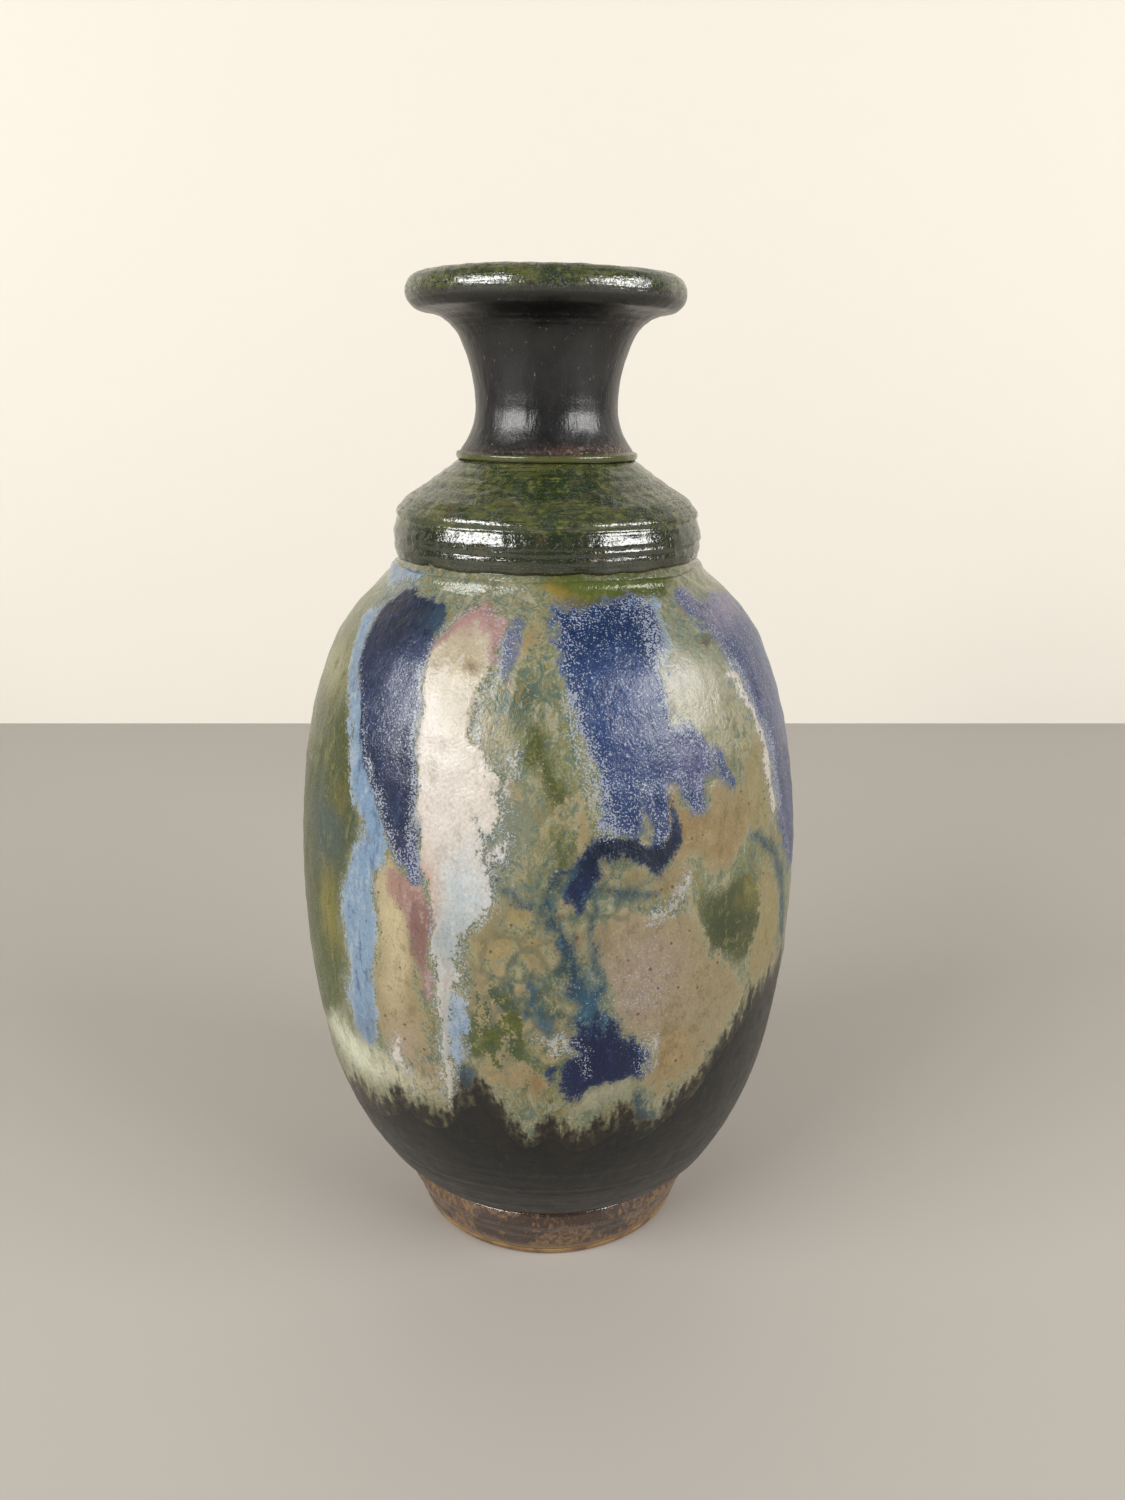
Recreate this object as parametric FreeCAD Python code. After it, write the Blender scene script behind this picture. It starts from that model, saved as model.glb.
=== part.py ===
"""Stoneware pottery vase: five thrown clay sections, the slip that joins them, and seven glaze coats.

Millimetres, +Z up. The origin is the centre of the foot's resting face. Every piece is turned
about the Z axis, so each one is a closed outline in the (radius, height) half-plane, revolved.
The visible outside is described once, as a line walked from the foot to the mouth, and the clay
is that same line set in by the thickness of the glaze.
"""
import FreeCAD
import Part
import math
import os

# ---- driving dimensions -------------------------------------------------------------------
HEIGHT = 200.0            # resting face to the top of the rim
BELLY_RADIUS = 52.6       # widest radius of the glazed body
BELLY_HEIGHT = 80.0       # height of that widest place
GLAZE = 0.5               # thickness of every glaze coat
SLIP = 0.5                # thickness of the joining slip
WALL = 5.0                # body wall with both of its glazes

# ---- foot ---------------------------------------------------------------------------------
FOOT_RADIUS = 29.5        # glazed flank, carried down to the resting face
FOOT_FLARE = 18.0         # degrees that the flank leans out
FOOT_BARE = 1.8           # unglazed strip along the bottom of the flank
FOOT_FLANK = 8.8          # straight glazed stretch above the bare strip
FOOT_ROUND = 10.0         # radius that turns the flank upright under the body
FOOT_REST_OUTER = 28.4    # resting face, outer and inner radius
FOOT_REST_INNER = 24.2
FOOT_EASE = 0.6           # height of the eased inner edge of the resting face
RECESS_RADIUS = 22.6      # top of the turned recess under the base
RECESS_DEPTH = 9.0
FLOOR_SWEEP = 28.0        # radius that carries the wall round into the floor

# ---- arcs of the walked line: (radius, degrees turned) -------------------------------------
# A positive turn curves towards the axis, a negative one away from it. A turn of zero is a
# straight stretch, and the first number is then its length.
BELLY_DOWN = [(188.0, 10.7), (73.5, 22.2), (16.5, 29.0)]
BELLY_UP = [(175.0, 10.1), (82.0, 14.3), (25.7, 19.8), (200.0, 3.6)]

COLLAR_START = (29.6, 147.0)
COLLAR_LEAN = -80.0
COLLAR_EDGE = [(1.0, 68.0)]
COLLAR_BAND = [(15.0, 24.7)]
COLLAR_GROOVE = [(0.7, 30.0), (0.5, -75.0), (0.7, 45.0)]
COLLAR_SHOULDER = [(3.4, 23.0), (8.5, 24.3), (60.0, -9.0), (2.1, 0.0)]

NECK_LEAN = -60.0
NECK_BEAD = [(0.7, 105.5)]
NECK_SWEEP = [(12.57, -45.5), (29.12, -25.4), (8.3, -52.6)]

ROLL_RADIUS = 3.35        # rolled lip
ROLL_CENTRE = 23.65       # radius of the roll's centre line
ROLL_FROM = -78.0         # degrees round the roll where the neck's underside meets it
ROLL_TO = 150.0           # degrees round the roll where the mouth begins

MOUTH = [(1.5, 32.0), (13.0, -37.0), (42.0, -25.0)]
THROAT = [(40.0, -8.0), (9.0, -60.0), (12.0, 68.0)]
SPIGOT_FOOT = 146.5       # height where the collar's inside opens into the body

# ---- joints: outer height, radius of the step, inner height --------------------------------
FOOT_JOINT = (13.3, 30.2, 8.5)
COLLAR_JOINT = (146.6, 27.0, 150.4)
NECK_JOINT = (165.7, 15.4, 167.8)
RIM_JOINT = (195.0, 21.9, 196.4)

GLAZE_LINE = 48.0         # height where the running glaze stops over the black base glaze
REACH = 70.0              # radius beyond everything, for the parting rings
SAME_POINT = 1e-6


def vector(point):
    """A (radius, height) pair as a point in the XZ plane."""
    return FreeCAD.Vector(point[0], 0.0, point[1])


def inward(lean, way):
    """Unit normal that points towards the axis side of a line with this lean."""
    angle = math.radians(lean)
    return (-math.cos(angle), -way * math.sin(angle))


def walk(start, lean, legs, inset=0.0, way=1):
    """Points of a smooth line of arcs: a list of (middle, end) pairs after the first point.

    lean is in degrees from upright, positive towards the axis. way is 1 upwards, -1 downwards.
    inset moves the whole line towards the axis side without changing its turns.
    """
    normal = inward(lean, way)
    here = (start[0] + inset * normal[0], start[1] + inset * normal[1])
    places = [here]
    for size, turn in legs:
        if turn == 0.0:
            angle = math.radians(lean)
            here = (here[0] - size * math.sin(angle), here[1] + way * size * math.cos(angle))
            places.append((None, here))
            continue
        reach = math.copysign(size, turn) - inset
        middle = arc_point(here, lean, turn / 2.0, reach, way)
        here = arc_point(here, lean, turn, reach, way)
        places.append((middle, here))
        lean += turn
    return places


def arc_point(here, lean, turn, reach, way):
    """The place reached after turning by this much on an arc of signed radius reach."""
    before = inward(lean, way)
    after = inward(lean + turn, way)
    return (here[0] + reach * (before[0] - after[0]), here[1] + reach * (before[1] - after[1]))


def end_of(places):
    """Last point of a walked line."""
    return places[-1][1] if len(places) > 1 else places[0]


def edges_of(places):
    """Edges of a walked line."""
    edges = []
    here = places[0]
    for middle, end in places[1:]:
        if middle is None:
            edges.append(Part.LineSegment(vector(here), vector(end)).toShape())
        else:
            edges.append(Part.Arc(vector(here), vector(middle), vector(end)).toShape())
        here = end
    return edges


def backwards(places):
    """The same line walked from its other end."""
    result = [end_of(places)]
    for index in range(len(places) - 1, 0, -1):
        before = places[index - 1][1] if index > 1 else places[0]
        result.append((places[index][0], before))
    return result


def straight(*points):
    """A line walked straight from point to point."""
    return [points[0]] + [(None, point) for point in points[1:]]


def turned(*lines):
    """The solid turned from lines that follow one another; straight edges close any gaps."""
    edges = []
    for index, places in enumerate(lines):
        edges += edges_of(places)
        gap_from = end_of(places)
        gap_to = lines[(index + 1) % len(lines)][0]
        if math.dist(gap_from, gap_to) > SAME_POINT:
            edges.append(Part.LineSegment(vector(gap_from), vector(gap_to)).toShape())
    face = Part.Face(Part.Wire(edges))
    solid = face.revolve(FreeCAD.Vector(0, 0, 0), FreeCAD.Vector(0, 0, 1), 360.0)
    return solid if solid.Volume > 0 else solid.reversed()


# ---- the outside, from the foot to the mouth ------------------------------------------------

def foot_bare(inset):
    """Unglazed strip at the bottom of the foot's flank."""
    return walk((FOOT_RADIUS, 0.0), -FOOT_FLARE, [(FOOT_BARE, 0.0)], inset)


def foot_flank(inset):
    """Glazed flank of the foot, turned upright where it meets the body."""
    start = end_of(foot_bare(0.0))
    return walk(start, -FOOT_FLARE, [(FOOT_FLANK, 0.0), (FOOT_ROUND, FOOT_FLARE)], inset)


def belly(inset):
    """Body from the foot joint up to the collar's seat."""
    widest = (BELLY_RADIUS, BELLY_HEIGHT)
    lower = walk(widest, 0.0, BELLY_DOWN, inset, way=-1)
    upper = walk(widest, 0.0, BELLY_UP, inset)
    return backwards(lower) + upper[1:]


def collar(inset):
    """Collar: rounded edge, plain band, turned groove, and the shoulder up to the neck."""
    legs = COLLAR_EDGE + COLLAR_BAND + COLLAR_GROOVE + COLLAR_SHOULDER
    return walk(COLLAR_START, COLLAR_LEAN, legs, inset)


def neck(inset):
    """Neck: a bead at its foot, then a hollow sweep that flares out under the lip."""
    return walk(end_of(collar(0.0)), NECK_LEAN, NECK_BEAD + NECK_SWEEP, inset)


def roll_place(angle, inset):
    """A point on the rolled lip."""
    radius = ROLL_RADIUS - inset
    turned_to = math.radians(angle)
    return (ROLL_CENTRE + radius * math.cos(turned_to),
            HEIGHT - ROLL_RADIUS + radius * math.sin(turned_to))


def roll(inset):
    """The lip, from its underside over the top and into the mouth."""
    middle = (ROLL_FROM + ROLL_TO) / 2.0
    return [roll_place(ROLL_FROM, inset), (roll_place(middle, inset), roll_place(ROLL_TO, inset))]


# ---- the inside, from the mouth to the floor ------------------------------------------------

def throat(inset):
    """Mouth, throat and the dome inside the collar. A negative inset is the clay's own face."""
    lean = ROLL_TO - 120.0
    return walk(roll_place(ROLL_TO, 0.0), lean, MOUTH + THROAT, inset, way=-1)


def inner_belly(inset):
    """Inside of the body, from the collar down to the edge of the floor."""
    lines = belly(WALL + inset)
    return backwards(lines)


def floor(inset):
    """Sweep from the wall into the flat floor, ending on the axis."""
    lean = sum(turn for _, turn in BELLY_DOWN)
    wall_foot = end_of(inner_belly(0.0))
    sweep = walk(wall_foot, lean, [(FLOOR_SWEEP, 90.0 - lean)], inset, way=-1)
    return sweep + [(None, (0.0, end_of(sweep)[1]))]


def inside(inset):
    """Every line of the inside, in order from the mouth."""
    upper = throat(inset)
    drop = straight(end_of(upper), (end_of(upper)[0], SPIGOT_FOOT))
    return [upper, drop, inner_belly(inset), floor(inset)]


# ---- clay, slip and glaze --------------------------------------------------------------------

def whole_clay():
    """All the clay as one turned mass, before it is parted at the joints."""
    underside = straight((0.0, RECESS_DEPTH), (RECESS_RADIUS, RECESS_DEPTH),
                         (FOOT_REST_INNER - FOOT_EASE / 2.0, FOOT_EASE),
                         (FOOT_REST_INNER, 0.0), (FOOT_REST_OUTER, 0.0))
    outside = [foot_bare(GLAZE), foot_flank(GLAZE), belly(GLAZE), collar(GLAZE), neck(GLAZE),
               roll(GLAZE)]
    return turned(underside, *outside, *inside(-GLAZE))


def joint_line(joint, lift):
    """Stepped line of a lap joint, from outside to the axis, lifted by a thickness of slip."""
    outer, step, inner = joint
    side = 1.0 if inner > outer else -1.0
    step += side * lift
    return [(REACH, outer + lift), (step, outer + lift), (step, inner + lift), (0.0, inner + lift)]


def parting(lower, upper):
    """The ring of space between two stepped lines, which cuts one section out of the clay."""
    return turned(straight(*lower), straight(*reversed(upper)))


def level(height):
    """A flat line from outside to the axis."""
    return [(REACH, height), (0.0, height)]


def coat(*lines):
    """A glaze coat between its visible face and the clay. lines are functions of the inset."""
    faces = [line(0.0) for line in lines]
    backs = [backwards(line(GLAZE)) for line in reversed(lines)]
    return turned(*faces, *backs)


def liner():
    """The glaze inside, from the mouth to the floor, which makes the pot hold water."""
    faces = inside(0.0)
    backs = [backwards(line) for line in reversed(inside(-GLAZE))]
    return turned(*faces, *backs)


def clay_sections():
    """Foot ring, body, collar, neck and rim, parted from one mass, with slip in every joint."""
    clay = whole_clay()
    names = ["foot_ring", "body_wall", "shoulder_collar", "neck_tube", "rim_roll"]
    joints = {"foot_slip": FOOT_JOINT, "collar_slip": COLLAR_JOINT,
              "neck_slip": NECK_JOINT, "rim_slip": RIM_JOINT}
    lines = [level(-1.0)]
    for joint in joints.values():
        lines += [joint_line(joint, 0.0), joint_line(joint, SLIP)]
    lines.append(level(HEIGHT + 1.0))
    pieces = {}
    for index, name in enumerate(names):
        pieces[name] = clay.common(parting(lines[2 * index], lines[2 * index + 1]))
    for index, name in enumerate(joints):
        pieces[name] = clay.common(parting(lines[2 * index + 1], lines[2 * index + 2]))
    return pieces


def glaze_coats():
    """The seven glazes: foot, black base, running body glaze, collar, neck, rim and liner."""
    body_coat = coat(belly)
    upper_coat = coat(neck, roll)
    rim_line = RIM_JOINT[0]
    return {
        "foot_glaze": coat(foot_flank),
        "base_black_glaze": body_coat.common(parting(level(0.0), level(GLAZE_LINE))),
        "body_running_glaze": body_coat.common(parting(level(GLAZE_LINE), level(HEIGHT))),
        "collar_green_glaze": coat(collar),
        "neck_black_glaze": upper_coat.common(parting(level(0.0), level(rim_line))),
        "rim_green_glaze": upper_coat.common(parting(level(rim_line), level(HEIGHT + 1.0))),
        "liner_glaze": liner(),
    }


def write(name, shape):
    """Save one piece as its own STEP file, as a plain solid."""
    solids = shape.Solids
    piece = solids[0] if len(solids) == 1 else Part.makeCompound(solids)
    piece.exportStep(os.path.join("parts", name + ".step"))
    box = piece.optimalBoundingBox()
    print(f"{name}: {len(solids)} solid, {piece.Volume / 1000.0:.2f} cm3, valid {piece.isValid()}, "
          f"z {box.ZMin:.2f} to {box.ZMax:.2f}, radius {box.XMax:.2f}")


def main():
    """Make every piece and write it."""
    os.makedirs("parts", exist_ok=True)
    for name, shape in {**clay_sections(), **glaze_coats()}.items():
        write(name, shape)


main()
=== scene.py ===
"""Thrown stoneware vase: foot, ovoid body under running glazes, ridged collar, neck, rolled lip.

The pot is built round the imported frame. Every coat of glaze is a closed shell turned about the
Z axis, worked with throwing marks, ridges, drips and pooled glaze, and dressed with a finish of
its own. Places on the pot are given as an angle in degrees, 0 at the side that faces the
camera and growing to its right, and a height in millimetres above the table.
"""
import logging
import math
from dataclasses import dataclass, field, replace
from enum import Enum
from functools import reduce
from typing import Callable

import bpy
import numpy as np
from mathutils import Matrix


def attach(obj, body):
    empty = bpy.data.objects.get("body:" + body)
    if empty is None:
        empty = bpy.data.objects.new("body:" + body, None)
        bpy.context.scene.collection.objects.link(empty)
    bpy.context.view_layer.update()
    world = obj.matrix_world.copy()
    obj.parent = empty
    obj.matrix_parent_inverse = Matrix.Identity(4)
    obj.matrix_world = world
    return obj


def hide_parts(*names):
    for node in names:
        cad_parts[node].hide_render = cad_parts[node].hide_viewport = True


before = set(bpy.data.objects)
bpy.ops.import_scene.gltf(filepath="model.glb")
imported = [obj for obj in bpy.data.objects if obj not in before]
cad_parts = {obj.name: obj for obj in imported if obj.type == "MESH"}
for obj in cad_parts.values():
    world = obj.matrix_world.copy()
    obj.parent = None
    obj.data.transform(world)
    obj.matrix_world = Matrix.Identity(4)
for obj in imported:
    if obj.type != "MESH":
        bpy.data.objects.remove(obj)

LOG = logging.getLogger("vase")
ROOT_BODY = "root"
MM = 0.001
SEED = 4711
WAVES_IN_A_FIELD = 30
FIELD_SIZE = 0.7
BACK_STARTS = (95.0, 125.0)
SAME_PLACE = 0.02
FAR_AWAY = 1e9
DEEPEST = 9.0
NECK_LEAN = 0.6
NECK_LEANS_FROM = (132.0, 156.0)

Leg = tuple[float, float]
Colour = tuple[float, float, float]
Point = tuple[float, float, float]
Hex = str
Place = tuple[float, float]
Socket = bpy.types.NodeSocket
Filling = Socket | float | Colour | Hex


def paint(code: Hex) -> Colour:
    """Linear colour from a six-figure hex code."""
    parts = [int(code[start:start + 2], 16) / 255.0 for start in (1, 3, 5)]
    red, green, blue = (part / 12.92 if part <= 0.04045 else ((part + 0.055) / 1.055) ** 2.4
                        for part in parts)
    return (red, green, blue)


def smooth_step(low: float, high: float, value: np.ndarray) -> np.ndarray:
    """A rise from 0 to 1 between two values, level at both ends."""
    part = np.clip((value - low) / (high - low), 0.0, 1.0)
    return part * part * (3.0 - 2.0 * part)


def bump_at(value: np.ndarray, middle: float, width: float) -> np.ndarray:
    """A soft hump of height 1 round a value."""
    return np.exp(-((value - middle) / width) ** 2)


def turned_from(angle: np.ndarray, middle: float) -> np.ndarray:
    """Degrees round the pot from one angle to another, between -180 and 180."""
    return (angle - middle + 180.0) % 360.0 - 180.0


def mirrored(angle: np.ndarray) -> np.ndarray:
    """Angles with the back half of the pot folded onto its front."""
    turn = turned_from(angle, 0.0)
    return np.where(np.abs(turn) > 90.0, np.sign(turn) * 180.0 - turn, turn)


def behind(angle: np.ndarray) -> np.ndarray:
    """A rise from 0 on the front of the pot to 1 on its back."""
    return smooth_step(*BACK_STARTS, np.abs(turned_from(angle, 0.0)))


# ---------------------------------------------------------------------------------------------
# Turned lines
# ---------------------------------------------------------------------------------------------

@dataclass(frozen=True)
class TurnedLine:
    """A smooth line of arcs in the (radius, height) half-plane, in millimetres.

    Attributes:
        start: first point of the line.
        lean: degrees from upright at the start, positive towards the axis.
        legs: (radius, turn) pairs; a positive turn curves towards the axis, and a turn of
            zero is a straight stretch whose length is the first number.
        way: 1 for a line that climbs, -1 for one that goes down.
    """

    start: Place
    lean: float
    legs: tuple[Leg, ...]
    way: int = 1

    def sampled(self, spacing: float) -> np.ndarray:
        """Points and outward normals along the line.

        Args:
            spacing: distance between points, in millimetres.

        Returns:
            Rows of radius, height, and the outward normal's two parts.
        """
        rows: list[tuple[float, float, float, float]] = []
        here = np.array(self.start)
        lean = self.lean
        for size, turn in self.legs:
            length = size if turn == 0.0 else size * abs(math.radians(turn))
            count = max(2, round(length / spacing))
            rows += [self._point(here, lean, size, turn, step / count) for step in range(count)]
            here = np.array(self._point(here, lean, size, turn, 1.0)[:2])
            lean += turn
        rows.append((here[0], here[1], *self._outward(lean)))
        return np.array(rows)

    def _outward(self, lean: float) -> Place:
        """Outward normal where the line has this lean."""
        angle = math.radians(lean)
        return (math.cos(angle), self.way * math.sin(angle))

    def _point(self, here: np.ndarray, lean: float, size: float, turn: float,
               part: float) -> tuple[float, float, float, float]:
        """The place a part of the way along one leg, with its outward normal.

        Args:
            here: where the leg starts.
            lean: the line's lean there.
            size: the leg's radius, or its length if it is straight.
            turn: degrees that the leg turns.
            part: how far along, from 0 to 1.

        Returns:
            Radius, height and the outward normal's two parts.
        """
        before = np.array(self._outward(lean))
        if turn == 0.0:
            along = np.array((-math.sin(math.radians(lean)),
                              self.way * math.cos(math.radians(lean))))
            place = here + along * size * part
            return (place[0], place[1], before[0], before[1])
        after = np.array(self._outward(lean + turn * part))
        place = here + math.copysign(size, turn) * (after - before)
        return (place[0], place[1], after[0], after[1])


def joined(*lines: np.ndarray) -> np.ndarray:
    """Sampled lines end to end, without the points that two of them share."""
    kept = [lines[0]]
    for line in lines[1:]:
        gap = np.hypot(*(line[0, :2] - kept[-1][-1, :2]))
        kept.append(line[1:] if gap < SAME_PLACE else line)
    return np.concatenate(kept)


def outlined(corners: tuple[Place, ...], spacing: float) -> np.ndarray:
    """A closed outline cut into short steps, with the outward normal of each point.

    Args:
        corners: the outline's corners, in order, with the clay on the left.
        spacing: distance between points, in millimetres.

    Returns:
        Rows of radius, height, and the outward normal's two parts.
    """
    places: list[np.ndarray] = []
    for here, after in zip(corners, corners[1:] + corners[:1]):
        first, last = np.array(here), np.array(after)
        count = max(1, round(float(np.hypot(*(last - first))) / spacing))
        places += [first + (last - first) * step / count for step in range(count)]
    points = np.array(places)
    along = np.roll(points, -1, axis=0) - np.roll(points, 1, axis=0)
    along /= np.hypot(along[:, 0], along[:, 1])[:, None]
    return np.column_stack([points, along[:, 1], -along[:, 0]])


@dataclass(frozen=True)
class PotLines:
    """The visible outside and inside of the pot, from foot to mouth, in the frame's own sizes."""

    height: float = 200.0
    foot_radius: float = 29.5
    foot_flare: float = 18.0
    foot_bare: float = 1.8
    foot_flank: float = 8.8
    foot_round: float = 10.0
    widest: Place = (52.6, 80.0)
    belly_down: tuple[Leg, ...] = ((188.0, 10.7), (73.5, 22.2), (16.5, 29.0))
    belly_up: tuple[Leg, ...] = ((175.0, 10.1), (82.0, 14.3), (25.7, 19.8), (200.0, 3.6))
    collar_start: Place = (29.6, 147.0)
    collar_legs: tuple[Leg, ...] = ((1.0, 68.0), (15.0, 24.7), (0.7, 30.0), (0.5, -75.0),
                                    (0.7, 45.0), (3.4, 23.0), (8.5, 24.3), (60.0, -9.0), (2.1, 0.0))
    neck_start: Place = (17.633, 165.94)
    neck_legs: tuple[Leg, ...] = ((0.7, 105.5), (12.57, -45.5), (29.12, -25.4), (8.3, -52.6))
    roll_radius: float = 3.35
    roll_centre: float = 23.65
    roll_from: float = -78.0
    roll_seam: float = -30.0
    roll_lap: float = 20.0
    roll_to: float = 150.0
    mouth_legs: tuple[Leg, ...] = ((1.5, 32.0), (13.0, -37.0), (42.0, -25.0), (40.0, -8.0),
                                   (9.0, -60.0), (12.0, 68.0))
    wall: float = 5.0
    floor_sweep: float = 28.0

    def foot(self, spacing: float) -> np.ndarray:
        """Glazed flank of the foot, from the bare strip up to the body."""
        angle = math.radians(self.foot_flare)
        start = (self.foot_radius + self.foot_bare * math.sin(angle),
                 self.foot_bare * math.cos(angle))
        legs = ((self.foot_flank, 0.0), (self.foot_round, self.foot_flare))
        return TurnedLine(start, -self.foot_flare, legs).sampled(spacing)

    def belly(self, spacing: float) -> np.ndarray:
        """Outside of the body, from the foot up to the collar."""
        down = TurnedLine(self.widest, 0.0, self.belly_down, way=-1).sampled(spacing)
        up = TurnedLine(self.widest, 0.0, self.belly_up).sampled(spacing)
        return joined(down[::-1], up)

    def collar(self, spacing: float) -> np.ndarray:
        """Collar, from its overhanging edge up to the neck."""
        return TurnedLine(self.collar_start, -80.0, self.collar_legs).sampled(spacing)

    def roll(self, spacing: float, first: float, last: float) -> np.ndarray:
        """Part of the rolled lip, between two angles round the roll."""
        count = max(3, round(self.roll_radius * math.radians(last - first) / spacing))
        angles = np.radians(np.linspace(first, last, count + 1))
        across, up = np.cos(angles), np.sin(angles)
        return np.stack([self.roll_centre + self.roll_radius * across,
                         self.height - self.roll_radius + self.roll_radius * up, across, up],
                        axis=1)

    def neck(self, spacing: float) -> np.ndarray:
        """Neck, from its bead up to a lap under the lip's glaze."""
        sweep = TurnedLine(self.neck_start, -60.0, self.neck_legs).sampled(spacing)
        return joined(sweep, self.roll(spacing, self.roll_from, self.roll_seam + self.roll_lap))

    def inside(self, spacing: float) -> np.ndarray:
        """Inside of the pot, from the mouth down to the floor."""
        mouth = self.roll(spacing, self.roll_to - 1.0, self.roll_to)[-1, :2]
        upper = TurnedLine((mouth[0], mouth[1]), self.roll_to - 120.0, self.mouth_legs,
                           way=-1).sampled(spacing)
        belly = self.belly(spacing)[::-1]
        belly = np.column_stack([belly[:, :2] - self.wall * belly[:, 2:], belly[:, 2:]])
        lean = sum(turn for _, turn in self.belly_down)
        floor = TurnedLine((belly[-1, 0], belly[-1, 1]), lean,
                           ((self.floor_sweep, 90.0 - lean),), way=-1).sampled(spacing)
        centre = np.array([[0.4, floor[-1, 1], 0.0, -1.0]])
        line = joined(upper, belly, floor, centre)
        return np.column_stack([line[:, :2], -line[:, 2:]])


LINES = PotLines()


# ---------------------------------------------------------------------------------------------
# Surfaces and relief
# ---------------------------------------------------------------------------------------------

@dataclass
class Surface:
    """A grid of points on a turned surface: one row for each height, one column for each angle.

    Attributes:
        angle: degrees round the pot.
        radius: millimetres from the axis.
        height: millimetres above the table.
        across: the outward normal's part away from the axis.
        up: the outward normal's upward part.
    """

    angle: np.ndarray
    radius: np.ndarray
    height: np.ndarray
    across: np.ndarray
    up: np.ndarray

    @classmethod
    def turned(cls, line: np.ndarray, columns: int) -> "Surface":
        """The surface that a line sweeps out."""
        angle = np.arange(columns) * 360.0 / columns
        grids = [np.repeat(line[:, part:part + 1], columns, axis=1) for part in range(4)]
        return cls(np.repeat(angle[None, :], len(line), axis=0), *grids)

    @classmethod
    def between(cls, line: np.ndarray, low: np.ndarray, high: float,
                parts: np.ndarray) -> "Surface":
        """The part of a climbing line's surface between two heights.

        Args:
            line: rows of radius, height and outward normal, always climbing.
            low: lowest height in each column.
            high: highest height.
            parts: where each row lies between them, from 0 to 1.

        Returns:
            The surface.
        """
        rows = len(parts)
        height = low[None, :] + (high - low[None, :]) * parts[:, None]
        angle = np.arange(len(low)) * 360.0 / len(low)
        radius, across, up = (np.interp(height, line[:, 1], line[:, pick]) for pick in (0, 2, 3))
        length = np.hypot(across, up)
        return cls(np.repeat(angle[None, :], rows, axis=0), radius, height, across / length,
                   up / length)

    def rows(self, picks: list[int]) -> "Surface":
        """Some of the surface's rows."""
        return Surface(*(part[picks] for part in
                         (self.angle, self.radius, self.height, self.across, self.up)))

    def side(self, angle: float, width: float) -> np.ndarray:
        """A soft hump round one angle; its width is in degrees."""
        return bump_at(turned_from(self.angle, angle), 0.0, width)

    def level(self, height: float, width: float) -> np.ndarray:
        """A soft hump round one height."""
        return bump_at(self.height, height, width)

    def spot(self, angle: float, height: float, across: float, up: float) -> np.ndarray:
        """A soft hump round one place; it is degrees across and millimetres up."""
        return self.side(angle, across) * self.level(height, up)

    def points(self, out: np.ndarray | float = 0.0) -> np.ndarray:
        """Points in millimetres, moved out along the normals."""
        radius = self.radius + self.across * out
        height = self.height + self.up * out
        turn = np.radians(self.angle)
        return np.stack([radius * np.sin(turn), -radius * np.cos(turn), height], axis=-1)


class Ripples:
    """A soft random field made of plane waves, with no seam anywhere."""

    def __init__(self, seed: int, wave: float, upright: float = 1.0) -> None:
        """Draw the waves.

        Args:
            seed: seed of the random numbers.
            wave: typical length of a wave, in millimetres.
            upright: how many times longer the waves are up and down the pot.
        """
        rng = np.random.default_rng(SEED + seed)
        way = rng.normal(size=(WAVES_IN_A_FIELD, 3))
        way /= np.linalg.norm(way, axis=1)[:, None]
        lengths = wave * rng.uniform(0.7, 1.6, (WAVES_IN_A_FIELD, 1))
        self.waves = way * (2.0 * np.pi / lengths)
        self.waves[:, 2] /= upright
        self.phase = rng.uniform(0.0, 2.0 * np.pi, WAVES_IN_A_FIELD)

    def at(self, surface: Surface) -> np.ndarray:
        """The field on a surface, mostly between -1.5 and 1.5."""
        points = surface.points()
        total = np.zeros(surface.angle.shape)
        for wave, phase in zip(self.waves, self.phase):
            total += np.cos(points @ wave + phase)
        return total * math.sqrt(2.0 / WAVES_IN_A_FIELD) * FIELD_SIZE


def folded(surface: Surface) -> Surface:
    """The surface with its back half mirrored onto the front, so that marks serve both."""
    return replace(surface, angle=mirrored(surface.angle))


def stirred(surface: Surface) -> Surface:
    """The folded surface with its places pushed about, so that marks drawn on it look poured.

    Args:
        surface: the plain surface.

    Returns:
        The same places as the marks see them; the back is pushed much further than the front.
    """
    back = behind(surface.angle)
    centre = surface.spot(-5.0, 78.0, 16.0, 26.0)
    east = 0.9 * Ripples(51, 10.0, 1.7).at(surface)
    east += (0.35 + 0.45 * centre) * Ripples(52, 3.6, 1.5).at(surface)
    north = 1.3 * Ripples(53, 12.0, 2.0).at(surface)
    north += (0.4 + 0.6 * centre) * Ripples(54, 3.6, 1.3).at(surface)
    east += 5.0 * back * Ripples(55, 34.0, 1.6).at(surface)
    north += 4.0 * back * Ripples(56, 30.0).at(surface)
    front = folded(surface)
    return replace(front, angle=front.angle + np.degrees(east / surface.radius),
                   height=surface.height + north)


def settled(points: np.ndarray) -> np.ndarray:
    """Points after the collar and neck have leaned a little, as they did when they were joined."""
    turn = smooth_step(*NECK_LEANS_FROM, points[..., 2]) * math.radians(NECK_LEAN)
    moved = points.copy()
    moved[..., 2] -= points[..., 0] * np.sin(turn)
    return moved


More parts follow.
